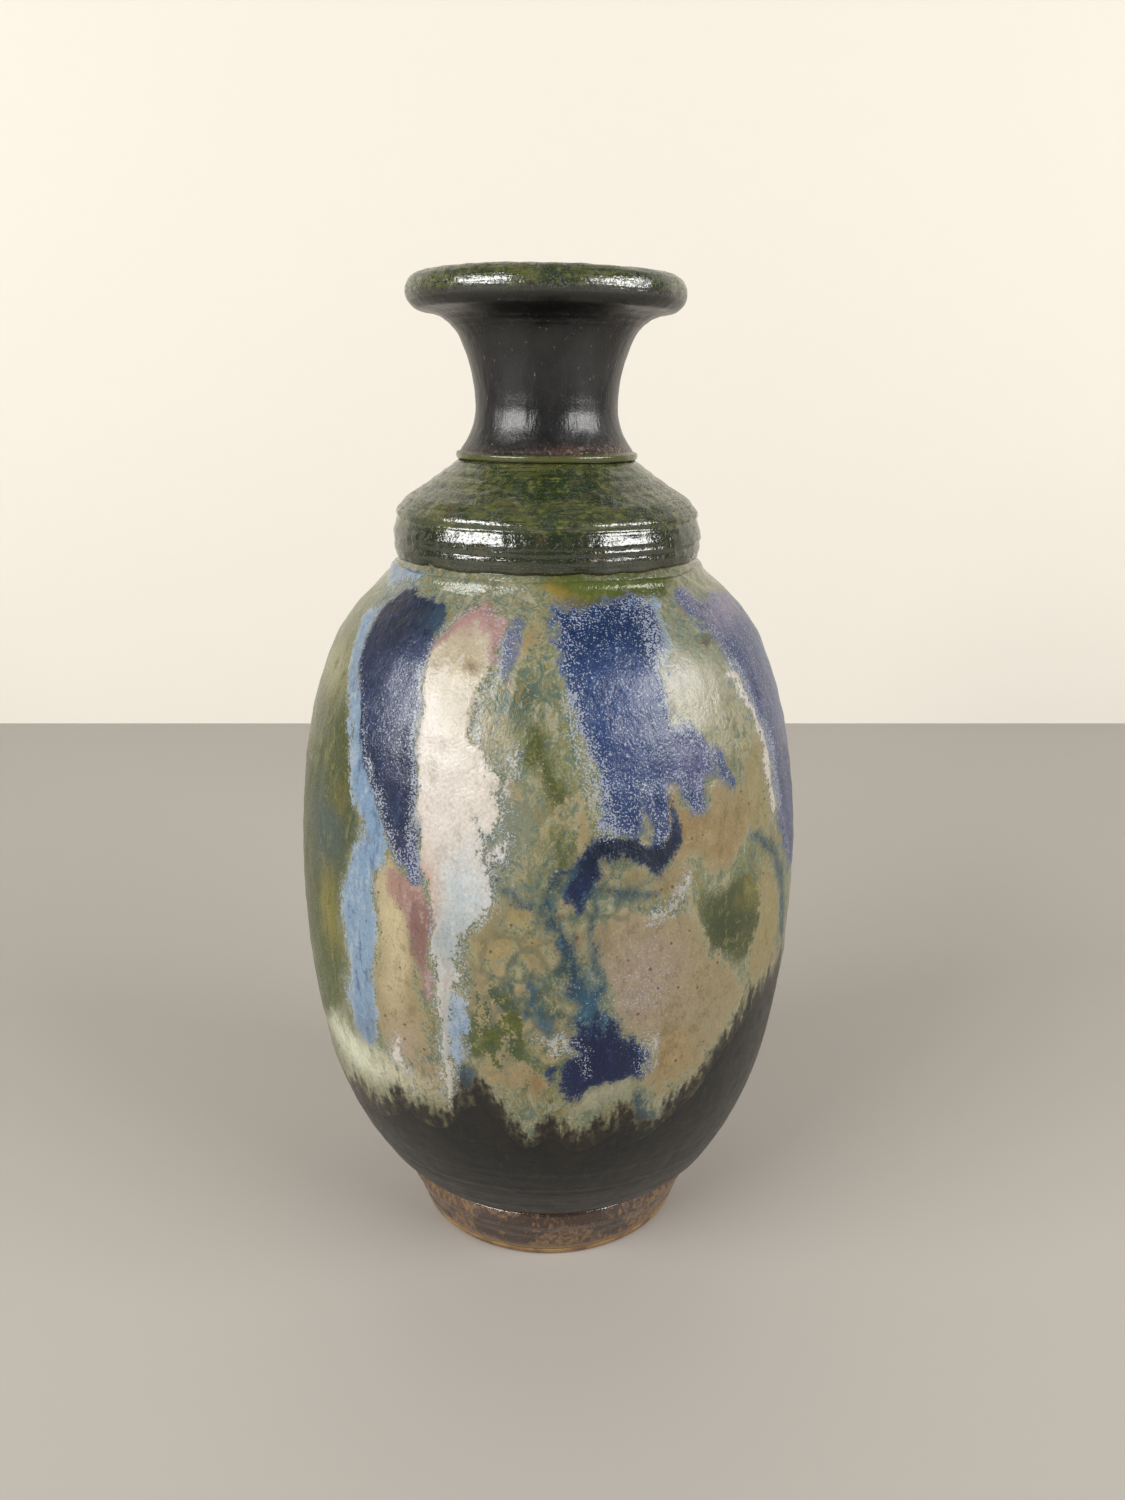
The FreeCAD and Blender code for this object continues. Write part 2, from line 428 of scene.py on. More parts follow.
@dataclass
class TurnedShell:
    """A closed shell: a worked face, and a plain back set in from it.

    Attributes:
        name: the piece's name.
        surface: the face before it is worked.
        relief: how far each point of the face stands out, in millimetres.
        thickness: how far the back lies behind the face.
        back_step: one row of the back for so many rows of the face.
        traits: named numbers or colours for every point of the face, for the finish to read.
    """

    name: str
    surface: Surface
    relief: np.ndarray
    thickness: float = 0.4
    back_step: int = 14
    traits: dict[str, np.ndarray] = field(default_factory=dict)

    def build(self) -> bpy.types.Object:
        """Make the shell's mesh, smooth shaded, with its worked points first."""
        rows, columns = self.surface.angle.shape
        picks = sorted({*range(0, rows, self.back_step), rows - 1}, reverse=True)
        face = settled(self.surface.points(self.relief))
        back = settled(self.surface.rows(picks).points(-self.thickness))
        points = np.concatenate([face, back]).reshape(-1, 3)
        made = ringed_object(self.name, points, rows + len(picks), columns)
        for name, values in self.traits.items():
            add_trait(made, name, np.concatenate([values, values[picks]]))
        return made


def add_trait(piece: bpy.types.Object, name: str, values: np.ndarray) -> None:
    """Store a number or a colour for every point of a piece.

    Args:
        piece: the piece.
        name: the trait's name.
        values: an array of (rows, columns), or (rows, columns, 3) for colours.
    """
    kind, key = ("FLOAT", "value") if values.ndim == 2 else ("FLOAT_VECTOR", "vector")
    trait = piece.data.attributes.new(name, kind, "POINT")
    trait.data.foreach_set(key, values.astype(np.float32).ravel())


def ringed_object(name: str, points: np.ndarray, rows: int, columns: int) -> bpy.types.Object:
    """An object from rings of points that close on themselves in both directions.

    Args:
        name: the object's name.
        points: rows * columns points, in millimetres.
        rows: how many rings.
        columns: points in each ring.

    Returns:
        The linked object.
    """
    index = np.arange(rows * columns).reshape(rows, columns)
    after = np.roll(index, -1, axis=1)
    above = np.roll(index, -1, axis=0)
    above_after = np.roll(after, -1, axis=0)
    faces = np.stack([index, after, above_after, above], axis=2).reshape(-1, 4)
    mesh = bpy.data.meshes.new(name)
    mesh.vertices.add(len(points))
    mesh.vertices.foreach_set("co", (points * MM).astype(np.float32).ravel())
    mesh.loops.add(faces.size)
    mesh.loops.foreach_set("vertex_index", faces.astype(np.int32).ravel())
    mesh.polygons.add(len(faces))
    mesh.polygons.foreach_set("loop_start", np.arange(0, faces.size, 4, dtype=np.int32))
    mesh.polygons.foreach_set("use_smooth", np.ones(len(faces), dtype=bool))
    mesh.update(calc_edges=True)
    made = bpy.data.objects.new(name, mesh)
    bpy.context.scene.collection.objects.link(made)
    return made


def finish_piece(piece: bpy.types.Object, material: bpy.types.Material, slot: str,
                 *nodes: str) -> None:
    """Dress a piece, ride it on the pot, name its slot and the nodes it stands for.

    Args:
        piece: the piece.
        material: what it is dressed with.
        slot: the record's material slot; not used.
        nodes: the CAD nodes it replaces.
    """
    piece.data.materials.append(material)
    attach(piece, ROOT_BODY)
    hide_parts(*nodes)
    LOG.info("%s: %d faces, stands for %s", piece.name, len(piece.data.polygons), ", ".join(nodes))


# ---------------------------------------------------------------------------------------------
# Marks of glaze on the body
# ---------------------------------------------------------------------------------------------

class Glaze(Enum):
    """The glazes poured over the body, in the order that they lie over one another."""

    OLIVE = "olive"
    TAN = "tan"
    CREAM = "cream"
    ICE = "ice"
    ROSE = "rose"
    ROYAL = "royal"
    NAVY = "navy"
    TEAL = "teal"


class Mark:
    """A shape of glaze on the body."""

    def distance(self, surface: Surface) -> np.ndarray:
        """Millimetres inside the mark's edge, negative outside."""
        raise NotImplementedError


BELLY_GUIDE = LINES.belly(2.0)


def flat(surface: Surface, middle: float) -> tuple[np.ndarray, np.ndarray]:
    """The surface unrolled round one angle: millimetres across, and height."""
    return np.radians(turned_from(surface.angle, middle)) * surface.radius, surface.height


def unrolled(angle: float, height: float, middle: float) -> Place:
    """A place on the body unrolled round one angle: millimetres across, and height."""
    radius = float(np.interp(height, BELLY_GUIDE[:, 1], BELLY_GUIDE[:, 0]))
    return (math.radians(angle - middle) * radius, height)


def beside(across: np.ndarray, up: np.ndarray, here: Place,
           after: Place) -> tuple[np.ndarray, np.ndarray]:
    """Where unrolled points lie beside a straight stretch.

    Args:
        across: millimetres across.
        up: height.
        here: start of the stretch.
        after: its end.

    Returns:
        How far along the stretch the nearest place is, from 0 to 1, and how far away it is.
    """
    step = (after[0] - here[0], after[1] - here[1])
    length = max(step[0] ** 2 + step[1] ** 2, 1e-9)
    east, north = across - here[0], up - here[1]
    part = np.clip((east * step[0] + north * step[1]) / length, 0.0, 1.0)
    return part, np.hypot(east - part * step[0], north - part * step[1])


@dataclass(frozen=True)
class Patch(Mark):
    """A closed outline of (angle, height) corners, rounded off.

    Attributes:
        outline: the corners, in order.
        rounds: how many times the corners are cut.
    """

    outline: tuple[Place, ...]
    rounds: int = 2

    def distance(self, surface: Surface) -> np.ndarray:
        """Millimetres inside the outline, negative outside."""
        middle = sum(angle for angle, _ in self.outline) / len(self.outline)
        corners = np.array([unrolled(angle, height, middle) for angle, height in self.outline])
        for _ in range(self.rounds):
            after = np.roll(corners, -1, axis=0)
            corners = np.stack([0.75 * corners + 0.25 * after, 0.25 * corners + 0.75 * after],
                               axis=1).reshape(-1, 2)
        across, up = flat(surface, middle)
        nearest = np.full(across.shape, FAR_AWAY)
        inside = np.zeros(across.shape, dtype=bool)
        for here, after in zip(corners, np.roll(corners, -1, axis=0)):
            nearest = np.minimum(nearest, beside(across, up, here, after)[1])
            if here[1] != after[1]:
                crosses = (here[1] > up) != (after[1] > up)
                slope = (after[0] - here[0]) / (after[1] - here[1])
                inside ^= crosses & (across - here[0] < slope * (up - here[1]))
        return np.where(inside, 1.0, -1.0) * nearest


def pour(*rows: tuple[float, float, float], rounds: int = 2) -> Patch:
    """A run of glaze from rows of (height, left angle, right angle), from the top down."""
    left = [(row[1], row[0]) for row in rows]
    right = [(row[2], row[0]) for row in reversed(rows)]
    return Patch(tuple(left + right), rounds)


@dataclass(frozen=True)
class Stroke(Mark):
    """A trail through (angle, height, half width) points; the width is in millimetres."""

    points: tuple[tuple[float, float, float], ...]

    def distance(self, surface: Surface) -> np.ndarray:
        """Millimetres inside the trail's edge, negative outside."""
        middle = self.points[0][0]
        across, up = flat(surface, middle)
        best = np.full(across.shape, -FAR_AWAY)
        for here, after in zip(self.points, self.points[1:]):
            part, gap = beside(across, up, unrolled(*here[:2], middle),
                               unrolled(*after[:2], middle))
            best = np.maximum(best, here[2] + (after[2] - here[2]) * part - gap)
        return best


@dataclass(frozen=True)
class Pool(Mark):
    """An oval of glaze.

    Attributes:
        place: angle and height of its middle.
        half_width: millimetres.
        half_height: millimetres.
    """

    place: Place
    half_width: float
    half_height: float

    def distance(self, surface: Surface) -> np.ndarray:
        """Millimetres inside the oval's edge, roughly, negative outside."""
        across, up = flat(surface, self.place[0])
        away = np.hypot(across / self.half_width, (up - self.place[1]) / self.half_height)
        return (1.0 - away) * min(self.half_width, self.half_height)


@dataclass(frozen=True)
class Wash:
    """A soft cloud of another colour in one glaze.

    Attributes:
        angle: angle of its middle.
        height: height of its middle.
        half_width: millimetres at which it has faded to about a third.
        half_height: the same up and down.
        colour: what it turns the glaze towards.
        weight: how far, at its middle.
    """

    angle: float
    height: float
    half_width: float
    half_height: float
    colour: Hex
    weight: float = 0.9

    def over(self, surface: Surface, tone: np.ndarray) -> np.ndarray:
        """A tone with this cloud laid over it."""
        across, up = flat(surface, self.angle)
        away = (across / self.half_width) ** 2 + ((up - self.height) / self.half_height) ** 2
        part = (self.weight * np.exp(-away ** 1.3))[..., None]
        return tone * (1.0 - part) + np.array(paint(self.colour)) * part


def washed(colour: Hex, washes: tuple[Wash, ...], surface: Surface) -> np.ndarray:
    """A plain colour with clouds laid over it, at every point of a surface."""
    tone = np.broadcast_to(np.array(paint(colour)), (*surface.angle.shape, 3))
    for cloud in washes:
        tone = cloud.over(surface, tone)
    return tone


@dataclass(frozen=True)
class Coat:
    """One glaze on the body: its plain colour, its marks, and the clouds in it.

    Attributes:
        colour: the glaze's own colour.
        marks: where it lies.
        washes: clouds of other colours in it.
        stands: how far it stands out from what it covers, in millimetres.
    """

    colour: Hex
    marks: tuple[Mark, ...]
    washes: tuple[Wash, ...]
    stands: float

    def distance(self, surface: Surface) -> np.ndarray:
        """Millimetres inside the nearest mark's edge, held within DEEPEST of it."""
        best = np.full(surface.angle.shape, -DEEPEST)
        for mark in self.marks:
            best = np.maximum(best, mark.distance(surface))
        return np.minimum(best, DEEPEST)


def poured_coats() -> dict[Glaze, Coat]:
    """The glazes poured over the body, as the potter laid them."""
    olive = Coat("#545b33", (
        pour((134, -80, -58), (128, -82, -53), (120, -82, -49.5), (112, -82, -46.5),
             (104, -82, -43), (98, -82, -42.5), (92, -82, -46.5), (80, -82, -49), (68, -82, -49),
             (62, -82, -52), (56, -84, -60), (50, -86, -70)),
        Patch(((-17, 64), (-15, 71), (-16, 80), (-11, 77), (-7, 74), (-3, 70), (-1, 64), (-3, 60),
               (-8, 61), (-12, 60))),
        Patch(((33, 92), (45, 94), (52, 86), (51, 75), (45, 72), (38, 77), (32, 86))),
        pour((148, -6, 52), (144.5, -3, 50), (142.8, 0, 43), (141.6, 6, 40), (140.5, 12, 30)),
        Stroke(((-3, 118, 1.2), (-1, 122, 1.6), (1, 116, 1.2), (2, 110, 1.0))),
        Stroke(((3, 106, 0.8), (4, 100, 1.0), (3, 97, 0.6))),
        *scattered(64, 16, (-16, 3), (56, 90), (0.6, 1.5)),
        *scattered(65, 14, (36, 60), (72, 118), (0.5, 1.4))),
        (Wash(-55, 98, 9, 9, "#4d5d5c", 0.8), Wash(-53, 82, 4.5, 7, "#93893f", 0.8),
         Wash(-62, 62, 12, 9, "#5a6630", 0.9), Wash(-66, 129, 9, 6, "#a6a277", 0.8),
         Wash(-50, 106, 3, 4, "#7d7236", 0.6), Wash(-10, 66, 8, 6, "#61692f", 0.8),
         Wash(41, 84, 6, 7, "#3a4524", 0.85), Wash(15, 145, 24, 2.6, "#5f6c2f", 0.9),
         Wash(-3, 142.6, 8, 1.8, "#b08c44", 0.8), Wash(48, 88, 4, 4, "#8f8648", 0.7)), 0.05)
    tan = Coat("#a4936b", (
        pour((99.5, -32.3, -30.3), (96, -35.2, -29), (91, -36.3, -28.3), (84, -36, -27),
             (75, -37.5, -26), (66, -37.5, -25), (58, -35.5, -24.5)),
        Patch(((21.5, 101.5), (23, 106), (25.5, 112), (28.5, 110), (30.5, 105.5), (36, 108),
               (38, 113), (45, 111), (51, 104), (46, 98), (36, 96.5), (28, 97), (23, 97.5))),
        Patch(((10, 88), (14, 91), (21, 89), (28, 89), (32, 85), (37, 77), (43, 71), (46, 67),
               (40, 61), (36, 56), (30, 51), (22, 52), (21, 60), (17, 66), (13.5, 73),
               (11, 80), (7.5, 84))),
        Patch(((46, 112), (55, 119), (58, 112), (60, 100), (53, 97.5), (46, 101))),
        Patch(((50, 92), (60, 90), (63, 80), (62, 67), (47, 67.5), (51, 79))),
        Pool((-6, 91.5), 5.2, 2.8), Pool((-9.5, 85.5), 4.0, 4.4), Pool((-2.5, 84), 3.4, 5.2),
        Pool((2.3, 91.4), 1.7, 1.5), Pool((5.6, 86), 2.3, 3.8), Pool((8, 105), 1.9, 4.6),
        Pool((5, 94.5), 3.0, 1.4), Pool((17, 96.6), 3.2, 2.6), Pool((11.5, 97.6), 2.0, 1.5),
        Pool((25, 95), 5.0, 3.2), Pool((-13.5, 79), 2.4, 4.4), Pool((-4, 78.5), 2.0, 2.6),
        Pool((1, 68.3), 2.6, 1.3), Pool((-9, 59), 5.6, 2.4), Pool((-3, 136), 2.5, 3.2),
        Pool((-15, 73), 1.8, 2.2), Pool((-2, 57), 1.8, 3.4), Pool((40, 104), 6, 3),
        *scattered(61, 22, (-17, 6), (56, 92), (0.6, 1.6)),
        *scattered(62, 10, (4, 24), (88, 100), (0.5, 1.2)),
        *scattered(63, 12, (-8, 6), (98, 116), (0.4, 0.9))),
        (Wash(20, 76, 11, 13, "#a99887", 0.85), Wash(34, 64, 9, 8, "#a69979", 0.8),
         Wash(26, 106, 7, 7, "#9a7e4c", 0.7), Wash(38, 103, 9, 5, "#a18658", 0.7),
         Wash(54, 105, 6, 14, "#a29a6c", 0.8), Wash(57, 78, 7, 10, "#a39765", 0.8),
         Wash(-32, 84, 4, 18, "#dccba2", 0.85), Wash(-6, 88, 8, 6, "#a99a68", 0.7),
         Wash(-30, 62, 6, 5, "#b9a58c", 0.7), Wash(18, 96, 5, 3, "#8d8a68", 0.7),
         Wash(-2, 57, 1.6, 3, "#a5733c", 0.9), Wash(27, 58, 6, 5, "#ae9468", 0.7)), 0.1)
    cream = Coat("#e9dfd2", (
        pour((139.5, -23, -15), (137, -27, -11.5), (133, -29.3, -12), (128, -29.5, -17),
             (121, -28.7, -15.5), (117, -28.5, -11.5), (112, -28, -12.5), (108, -27.3, -13.8),
             (103, -26.2, -12.3), (98, -25.2, -11), (93, -24, -11), (90, -23.6, -13),
             (86, -23.2, -16.3), (81, -22.6, -17.6), (72, -22.6, -19.4), (62, -21.8, -19.7),
             (54, -21.8, -20), (49, -21.8, -20.6)),
        Patch(((-14, 113), (-9, 112), (-7, 109.5), (-8.5, 106), (-11.5, 105), (-13.5, 108))),
        Stroke(((-13, 110, 1.5), (-12, 114.5, 1.2), (-9.5, 113, 0.8))),
        Stroke(((51, 128.5, 0.9), (55, 122.5, 1.1), (57.5, 116, 1.0), (58.5, 109, 1.0),
                (60, 102, 0.8))),
        Stroke(((22, 88.5, 0.2), (26, 90, 0.5), (29, 93.5, 0.2))),
        Stroke(((1.8, 65.6, 0.3), (4.5, 65.2, 0.6), (6.6, 63.2, 0.45), (7.6, 60.6, 0.15))),
        Stroke(((20.8, 63, 0.1), (21.5, 56.5, 0.3))),
        Stroke(((-31.5, 62, 0.3), (-32.5, 57, 0.7), (-31, 54, 0.3))),
        *scattered(66, 9, (-14, -6), (100, 117), (0.2, 0.55))),
        (Wash(-20, 134, 9, 6.5, "#c3b594", 0.95), Wash(-17.6, 133.3, 1.0, 0.9, "#7d5f3c", 0.8),
         Wash(-21, 108, 8, 10, "#f1e7dc", 0.9), Wash(-16, 95, 5, 9, "#cbd6da", 0.95),
         Wash(-18.5, 84, 5, 8, "#aeb9bb", 0.95), Wash(-25, 94, 2.6, 7, "#c39a86", 0.9),
         Wash(-20.7, 66, 2.5, 10, "#b5b6b2", 0.9), Wash(-17, 126, 4, 5, "#c0b394", 0.7),
         Wash(-21, 52, 3, 4, "#b3ad9b", 0.8), Wash(26, 90, 6, 5, "#a59d88", 0.9),
         Wash(21, 60, 3, 6, "#a99f88", 0.8), Wash(5, 63, 5, 3, "#8e9a8c", 0.8)), 0.22)
    ice = Coat("#89a5c2", (
        pour((139, -66, -57), (135, -61, -55), (132, -57.5, -51), (128, -55.5, -49.5),
             (124, -52.3, -47), (120, -50.3, -45.5), (115, -48.3, -42), (110, -46.3, -38),
             (105, -44.3, -35.5), (101, -41.6, -33), (97, -42, -34.5), (92, -45.5, -36),
             (88, -47.5, -36.7), (80, -47, -37), (72, -47.5, -37.7), (65, -48.5, -38),
             (60, -46, -38.5), (56, -43.5, -40)),
        Stroke(((-84, 144.6, 1.8), (-62, 145.2, 1.6), (-50, 146.2, 0.9))),
        Stroke(((37, 142.2, 0.6), (33, 140.6, 1.1), (29.5, 138, 1.3), (28, 134, 0.7))),
        Stroke(((-18, 72, 1.0), (-17.5, 66, 1.5), (-18.5, 61, 1.2)))),
        (Wash(-42, 78, 8, 14, "#93aec6", 0.8), Wash(-41, 60, 5, 5, "#7d90a8", 0.8),
         Wash(-66, 144, 14, 3, "#8297ab", 0.8), Wash(-53, 130, 4, 6, "#8fa0b2", 0.7)), 0.12)
    rose = Coat("#a47f78", (
        Stroke(((-29, 133.5, 0.6), (-25, 137.6, 1.1), (-18, 139.7, 1.7), (-12.5, 138.6, 1.2),
                (-10.8, 135, 0.5))),
        pour((97.5, -32, -30.5), (92.5, -31.8, -25.3), (87, -30, -23.3), (79, -27.2, -23.6),
             (70.5, -24.9, -23.7))),
        (Wash(-18, 139, 10, 3, "#bb958f", 0.9), Wash(-26, 83, 4, 8, "#8a675e", 0.9),
         Wash(-30, 94, 3, 4, "#b48e7e", 0.8)), 0.1)
    royal = Coat("#2a4270", (
        pour((142.3, 3, 32), (139.5, 2, 33), (136, 2, 29.5), (132, 4, 28), (127, 6.3, 28.5),
             (122, 7.8, 32), (118, 9, 37), (114, 10.8, 39), (111.5, 11.8, 36)),
        pour((116, 11, 20), (110, 12.2, 19.8), (106.5, 13, 19.3), (104.2, 14.6, 18)),
        pour((116, 20, 27), (110, 20.3, 26), (105.5, 20.6, 26.3), (101.8, 21.6, 25)),
        pour((118, 27, 38), (113, 28, 36), (109.5, 29, 35.6), (106.5, 30.3, 35),
             (105, 31.8, 34)),
        Stroke(((37, 117, 1.4), (41, 114.2, 1.3), (44.2, 111.2, 0.6))),
        pour((142, 44, 84), (138, 47, 84), (133, 49.5, 84), (128, 52, 84), (121, 56, 84),
             (112, 59, 84), (104, 60.8, 83), (98, 62, 82), (91, 65, 80), (84, 69, 77)),
        Stroke(((-8, 140, 1.0), (-8.4, 136, 1.5), (-9.4, 132, 0.5)))),
        (Wash(18, 139, 13, 4, "#20365e", 0.95), Wash(20, 127, 8, 6, "#3f5482", 0.85),
         Wash(16, 117, 5, 7, "#32477a", 0.8), Wash(23, 104.5, 4, 4, "#303c68", 0.9),
         Wash(15.5, 106, 4, 3, "#334674", 0.8), Wash(33, 115, 5, 6, "#62648c", 0.8),
         Wash(57, 126, 6, 12, "#3b4b78", 0.85), Wash(68, 112, 8, 20, "#5a5c7a", 0.85),
         Wash(66, 138, 12, 4, "#9c8fa2", 0.8), Wash(-8.5, 136, 3, 5, "#77798c", 0.8)), 0.16)
    navy = Coat("#17284d", (
        pour((143.5, -47, -32), (141, -56, -29), (138, -57.5, -29.5), (134, -54, -31),
             (130, -51, -30), (125, -49, -29.5), (121, -47.5, -29), (118, -46, -28.8),
             (114, -44, -28), (110, -40.5, -27.5), (106, -37, -26.7), (102, -34, -25.8),
             (98, -30.5, -25.2), (94.5, -27.3, -25.4)),
        Stroke(((27, 108.5, 0.6), (27, 104.5, 1.2), (25.4, 101.4, 2.4), (21.6, 99.6, 2.7),
                (18, 101.6, 1.8), (14.4, 102.8, 2.1), (10.8, 101.6, 2.3), (8.2, 98.4, 2.5),
                (6.6, 95.4, 2.5), (6.0, 92.4, 1.0))),
        Stroke(((3.4, 86, 0.2), (3.6, 81, 0.5), (5, 76, 0.9), (8.6, 72.5, 1.6))),
        Stroke(((-2.6, 77, 0.3), (-2.2, 73.6, 0.7), (-3, 71, 0.2))),
        Patch(((8.6, 75), (13.4, 72.4), (16.6, 66), (20.6, 60), (22, 53.6), (16.6, 55),
               (10.5, 54.6), (4.4, 52.6), (1.6, 57), (1.8, 62), (5, 62.6), (5.6, 64),
               (3.4, 66.4), (6.6, 69.4)), rounds=1),
        Stroke(((0.5, 97.5, 0.2), (4, 99.8, 0.6), (8.6, 98, 0.8)))),
        # The lighter violet-grey wash at (-34.5, 127) is partly the navy's own tone and partly a
        # painted highlight of the left lamp.
        (Wash(-46, 139, 10, 5, "#172136", 0.9), Wash(-31, 139.5, 4, 3.5, "#3c5560", 0.85),
         Wash(-34.5, 127, 5.5, 9, "#4a5678", 0.85), Wash(-28, 97, 3, 4, "#35417a", 0.7),
         Wash(17, 101, 11, 5, "#06182c", 0.98), Wash(12, 62, 9, 9, "#081944", 0.98)), 0.14)
    teal = Coat("#264353", (
        Stroke(((6, 99.2, 0.5), (1.4, 97.2, 0.8), (0.2, 93.5, 0.9), (1.2, 90, 1.1),
                (3.2, 86.5, 1.3), (3.4, 81, 1.2), (4.6, 77, 1.6), (8, 74, 2.0))),
        Stroke(((10, 76, 1.4), (9, 71, 2.0), (5, 69.6, 0.7), (2, 70.6, 0.4))),
        Stroke(((22, 93.5, 0.4), (16, 93.4, 0.8), (10, 94.6, 0.7), (7.4, 93.4, 0.6))),
        Stroke(((-3, 80, 0.5), (-2.4, 75, 1.1), (-2.6, 70, 0.5))),
        Stroke(((-1, 72, 0.5), (1, 70, 0.5), (2, 66.6, 0.3))),
        Stroke(((49, 98, 0.4), (54, 96.6, 1.0), (60, 92.6, 1.2), (63.6, 87.5, 1.2),
                (65.6, 80, 1.4), (69, 72, 1.0))),
        Stroke(((-8, 94.8, 0.4), (-3, 93.6, 0.6), (0.4, 92.4, 0.5))),
        Stroke(((-17.4, 58.5, 1.2), (-17.2, 55, 2.1), (-17.6, 51, 1.4))),
        Stroke(((21.5, 50.4, 1.0), (22, 46, 1.5))),
        Stroke(((9, 90.5, 0.3), (9.4, 86, 0.5), (9.2, 80, 0.6), (10.6, 76, 0.5)))),
        (Wash(-17.3, 54, 4, 6, "#3b4a55", 0.9), Wash(58, 90, 8, 10, "#4b5c5e", 0.8),
         Wash(9, 72, 4, 4, "#3d6a86", 0.6), Wash(-2.5, 75, 2, 4, "#3e5a6c", 0.7)), 0.04)
    return dict(zip(Glaze, (olive, tan, cream, ice, rose, royal, navy, teal)))


def scattered(seed: int, count: int, angles: Place, heights: Place,
              sizes: Place) -> tuple[Mark, ...]:
    """Small pools at random places.

    Args:
        seed: seed of the random numbers.
        count: how many pools.
        angles: least and greatest angle.
        heights: least and greatest height.
        sizes: least and greatest half width, in millimetres.

    Returns:
        The pools.
    """
    rng = np.random.default_rng(SEED + seed)
    return tuple(Pool((rng.uniform(*angles), rng.uniform(*heights)), half,
                      half * rng.uniform(0.9, 1.9))
                 for half in rng.uniform(*sizes, count))


def ground_washes() -> tuple[Wash, ...]:
    """Clouds in the glaze that lies under all the pours; a few are partly painted highlights."""
    return (
        Wash(-6, 110, 9, 12, "#838c7d", 0.8), Wash(-9, 100, 5, 9, "#7c8478", 0.8),
        Wash(-5, 127, 8, 5, "#5d6b52", 0.85), Wash(-4.6, 127, 2.4, 2.4, "#3f5349", 0.8),
        Wash(-14, 120, 6, 6, "#aea283", 0.8), Wash(0, 118, 7, 7, "#888b5d", 0.7),
        # The pale oval at (38, 127) and the wash at (46, 119) are partly cream glaze and partly a
        # painted highlight of the right lamp.
        Wash(3, 104, 6, 7, "#8f8b5c", 0.7), Wash(38, 127, 11, 8.5, "#c0bca4", 0.96),
        Wash(46, 119, 8, 7, "#b4b08f", 0.9), Wash(41, 137, 11, 3, "#87917f", 0.85),
        Wash(47, 136, 3.4, 0.8, "#5e4630", 0.9), Wash(31, 131, 4, 4, "#b9b7ac", 0.7),
        # The violet-grey wash at (-33, 133) is partly a painted highlight of the left lamp.
        Wash(-33, 133, 5, 4, "#6b6a80", 0.7),
        Wash(-50, 52, 14, 5, "#f6f8da", 0.98), Wash(-34, 52, 8, 4, "#ddd8b8", 0.9),
        Wash(-26, 56, 5, 6, "#b39e7c", 0.8), Wash(-12, 56, 6, 4, "#a79c78", 0.8),
        Wash(0, 52, 6, 5, "#8f8c68", 0.7), Wash(13, 53, 8, 4, "#b0ab90", 0.9),
        Wash(30, 55, 8, 5, "#aa9c72", 0.8), Wash(43, 64, 6, 6, "#b2a981", 0.85),
        Wash(56, 66, 8, 4, "#a49c70", 0.8), Wash(-14, 143, 12, 3, "#8f9079", 0.8),
        Wash(-40, 145, 14, 2, "#878f78", 0.8), Wash(0, 60, 10, 6, "#7c7f4a", 0.7),
        Wash(10, 78, 3, 8, "#57737a", 0.6), Wash(-19, 66, 3, 9, "#8e958c", 0.8),
        Wash(45, 90, 10, 8, "#868a58", 0.7), Wash(-55, 139, 6, 6, "#8795a6", 0.8),
        Wash(60, 97, 6, 8, "#9c9670", 0.7), Wash(11, 99, 8, 5, "#5d685a", 0.7))


# Humps on the body, each (angle, height, degrees across, millimetres up): where the ground glaze
# is calm, and where drops of tan glaze stand apart from one another.
# The first calm hump keeps the pale oval at (38, 127), which is partly a painted highlight, smooth.
CALM = ((38.0, 127.0, 12.0, 9.0), (-50.0, 51.0, 17.0, 6.0), (-6.0, 108.0, 6.0, 9.0),
        (14.0, 53.0, 8.0, 4.0))
DROPS = ((-5.0, 76.0, 11.0, 17.0), (9.0, 93.0, 14.0, 6.0))
CRYSTAL_MARGIN = Stroke(((5.4, 128.0, 0.6), (8.4, 117.0, 1.3), (12.4, 105.5, 1.3)))


def tallest(surface: Surface, places: tuple[tuple[float, ...], ...]) -> np.ndarray:
    """The tallest of several humps, each given as (angle, height, across, up)."""
    return np.max([surface.spot(*place) for place in places], axis=0)


@dataclass(frozen=True)
class RunLine:
    """The wavering line where the running glazes stop over the black.

    Attributes:
        front: (angle, height) places of the line on the front; the back mirrors them.
        sway: how far the line strays from them round the back, in millimetres.
    """

    front: tuple[Place, ...] = (
        (-84, 43), (-72, 41.5), (-60, 40.5), (-50, 43), (-45, 42), (-40, 44), (-35, 48.5),
        (-30, 46.5), (-25, 46), (-22, 47.5), (-20, 51), (-15, 55.5), (-12, 53), (-10, 51),
        (-8, 46), (-5, 45), (-3, 43), (-1, 47), (1, 50), (3, 46), (7, 42.5), (10, 45),
        (13, 46), (17, 48.5), (20, 45), (23, 43.5), (27, 46.5), (30, 48.5), (35, 51),
        (38, 54), (40, 57.5), (45, 61), (50, 65), (60, 66), (70, 64.5), (80, 60))
    sway: float = 4.0

    def heights(self, angle: np.ndarray) -> np.ndarray:
        """Height of the line at each angle."""
        turn = turned_from(angle, 0.0)
        turns, heights = zip(*self.front)
        sway = np.sin(np.radians(5.0 * turn)) + 0.6 * np.sin(np.radians(11.0 * turn + 40.0))
        return np.interp(mirrored(angle), turns, heights) + self.sway * sway * behind(angle)


# ---------------------------------------------------------------------------------------------
# Node boards and finishes
# ---------------------------------------------------------------------------------------------

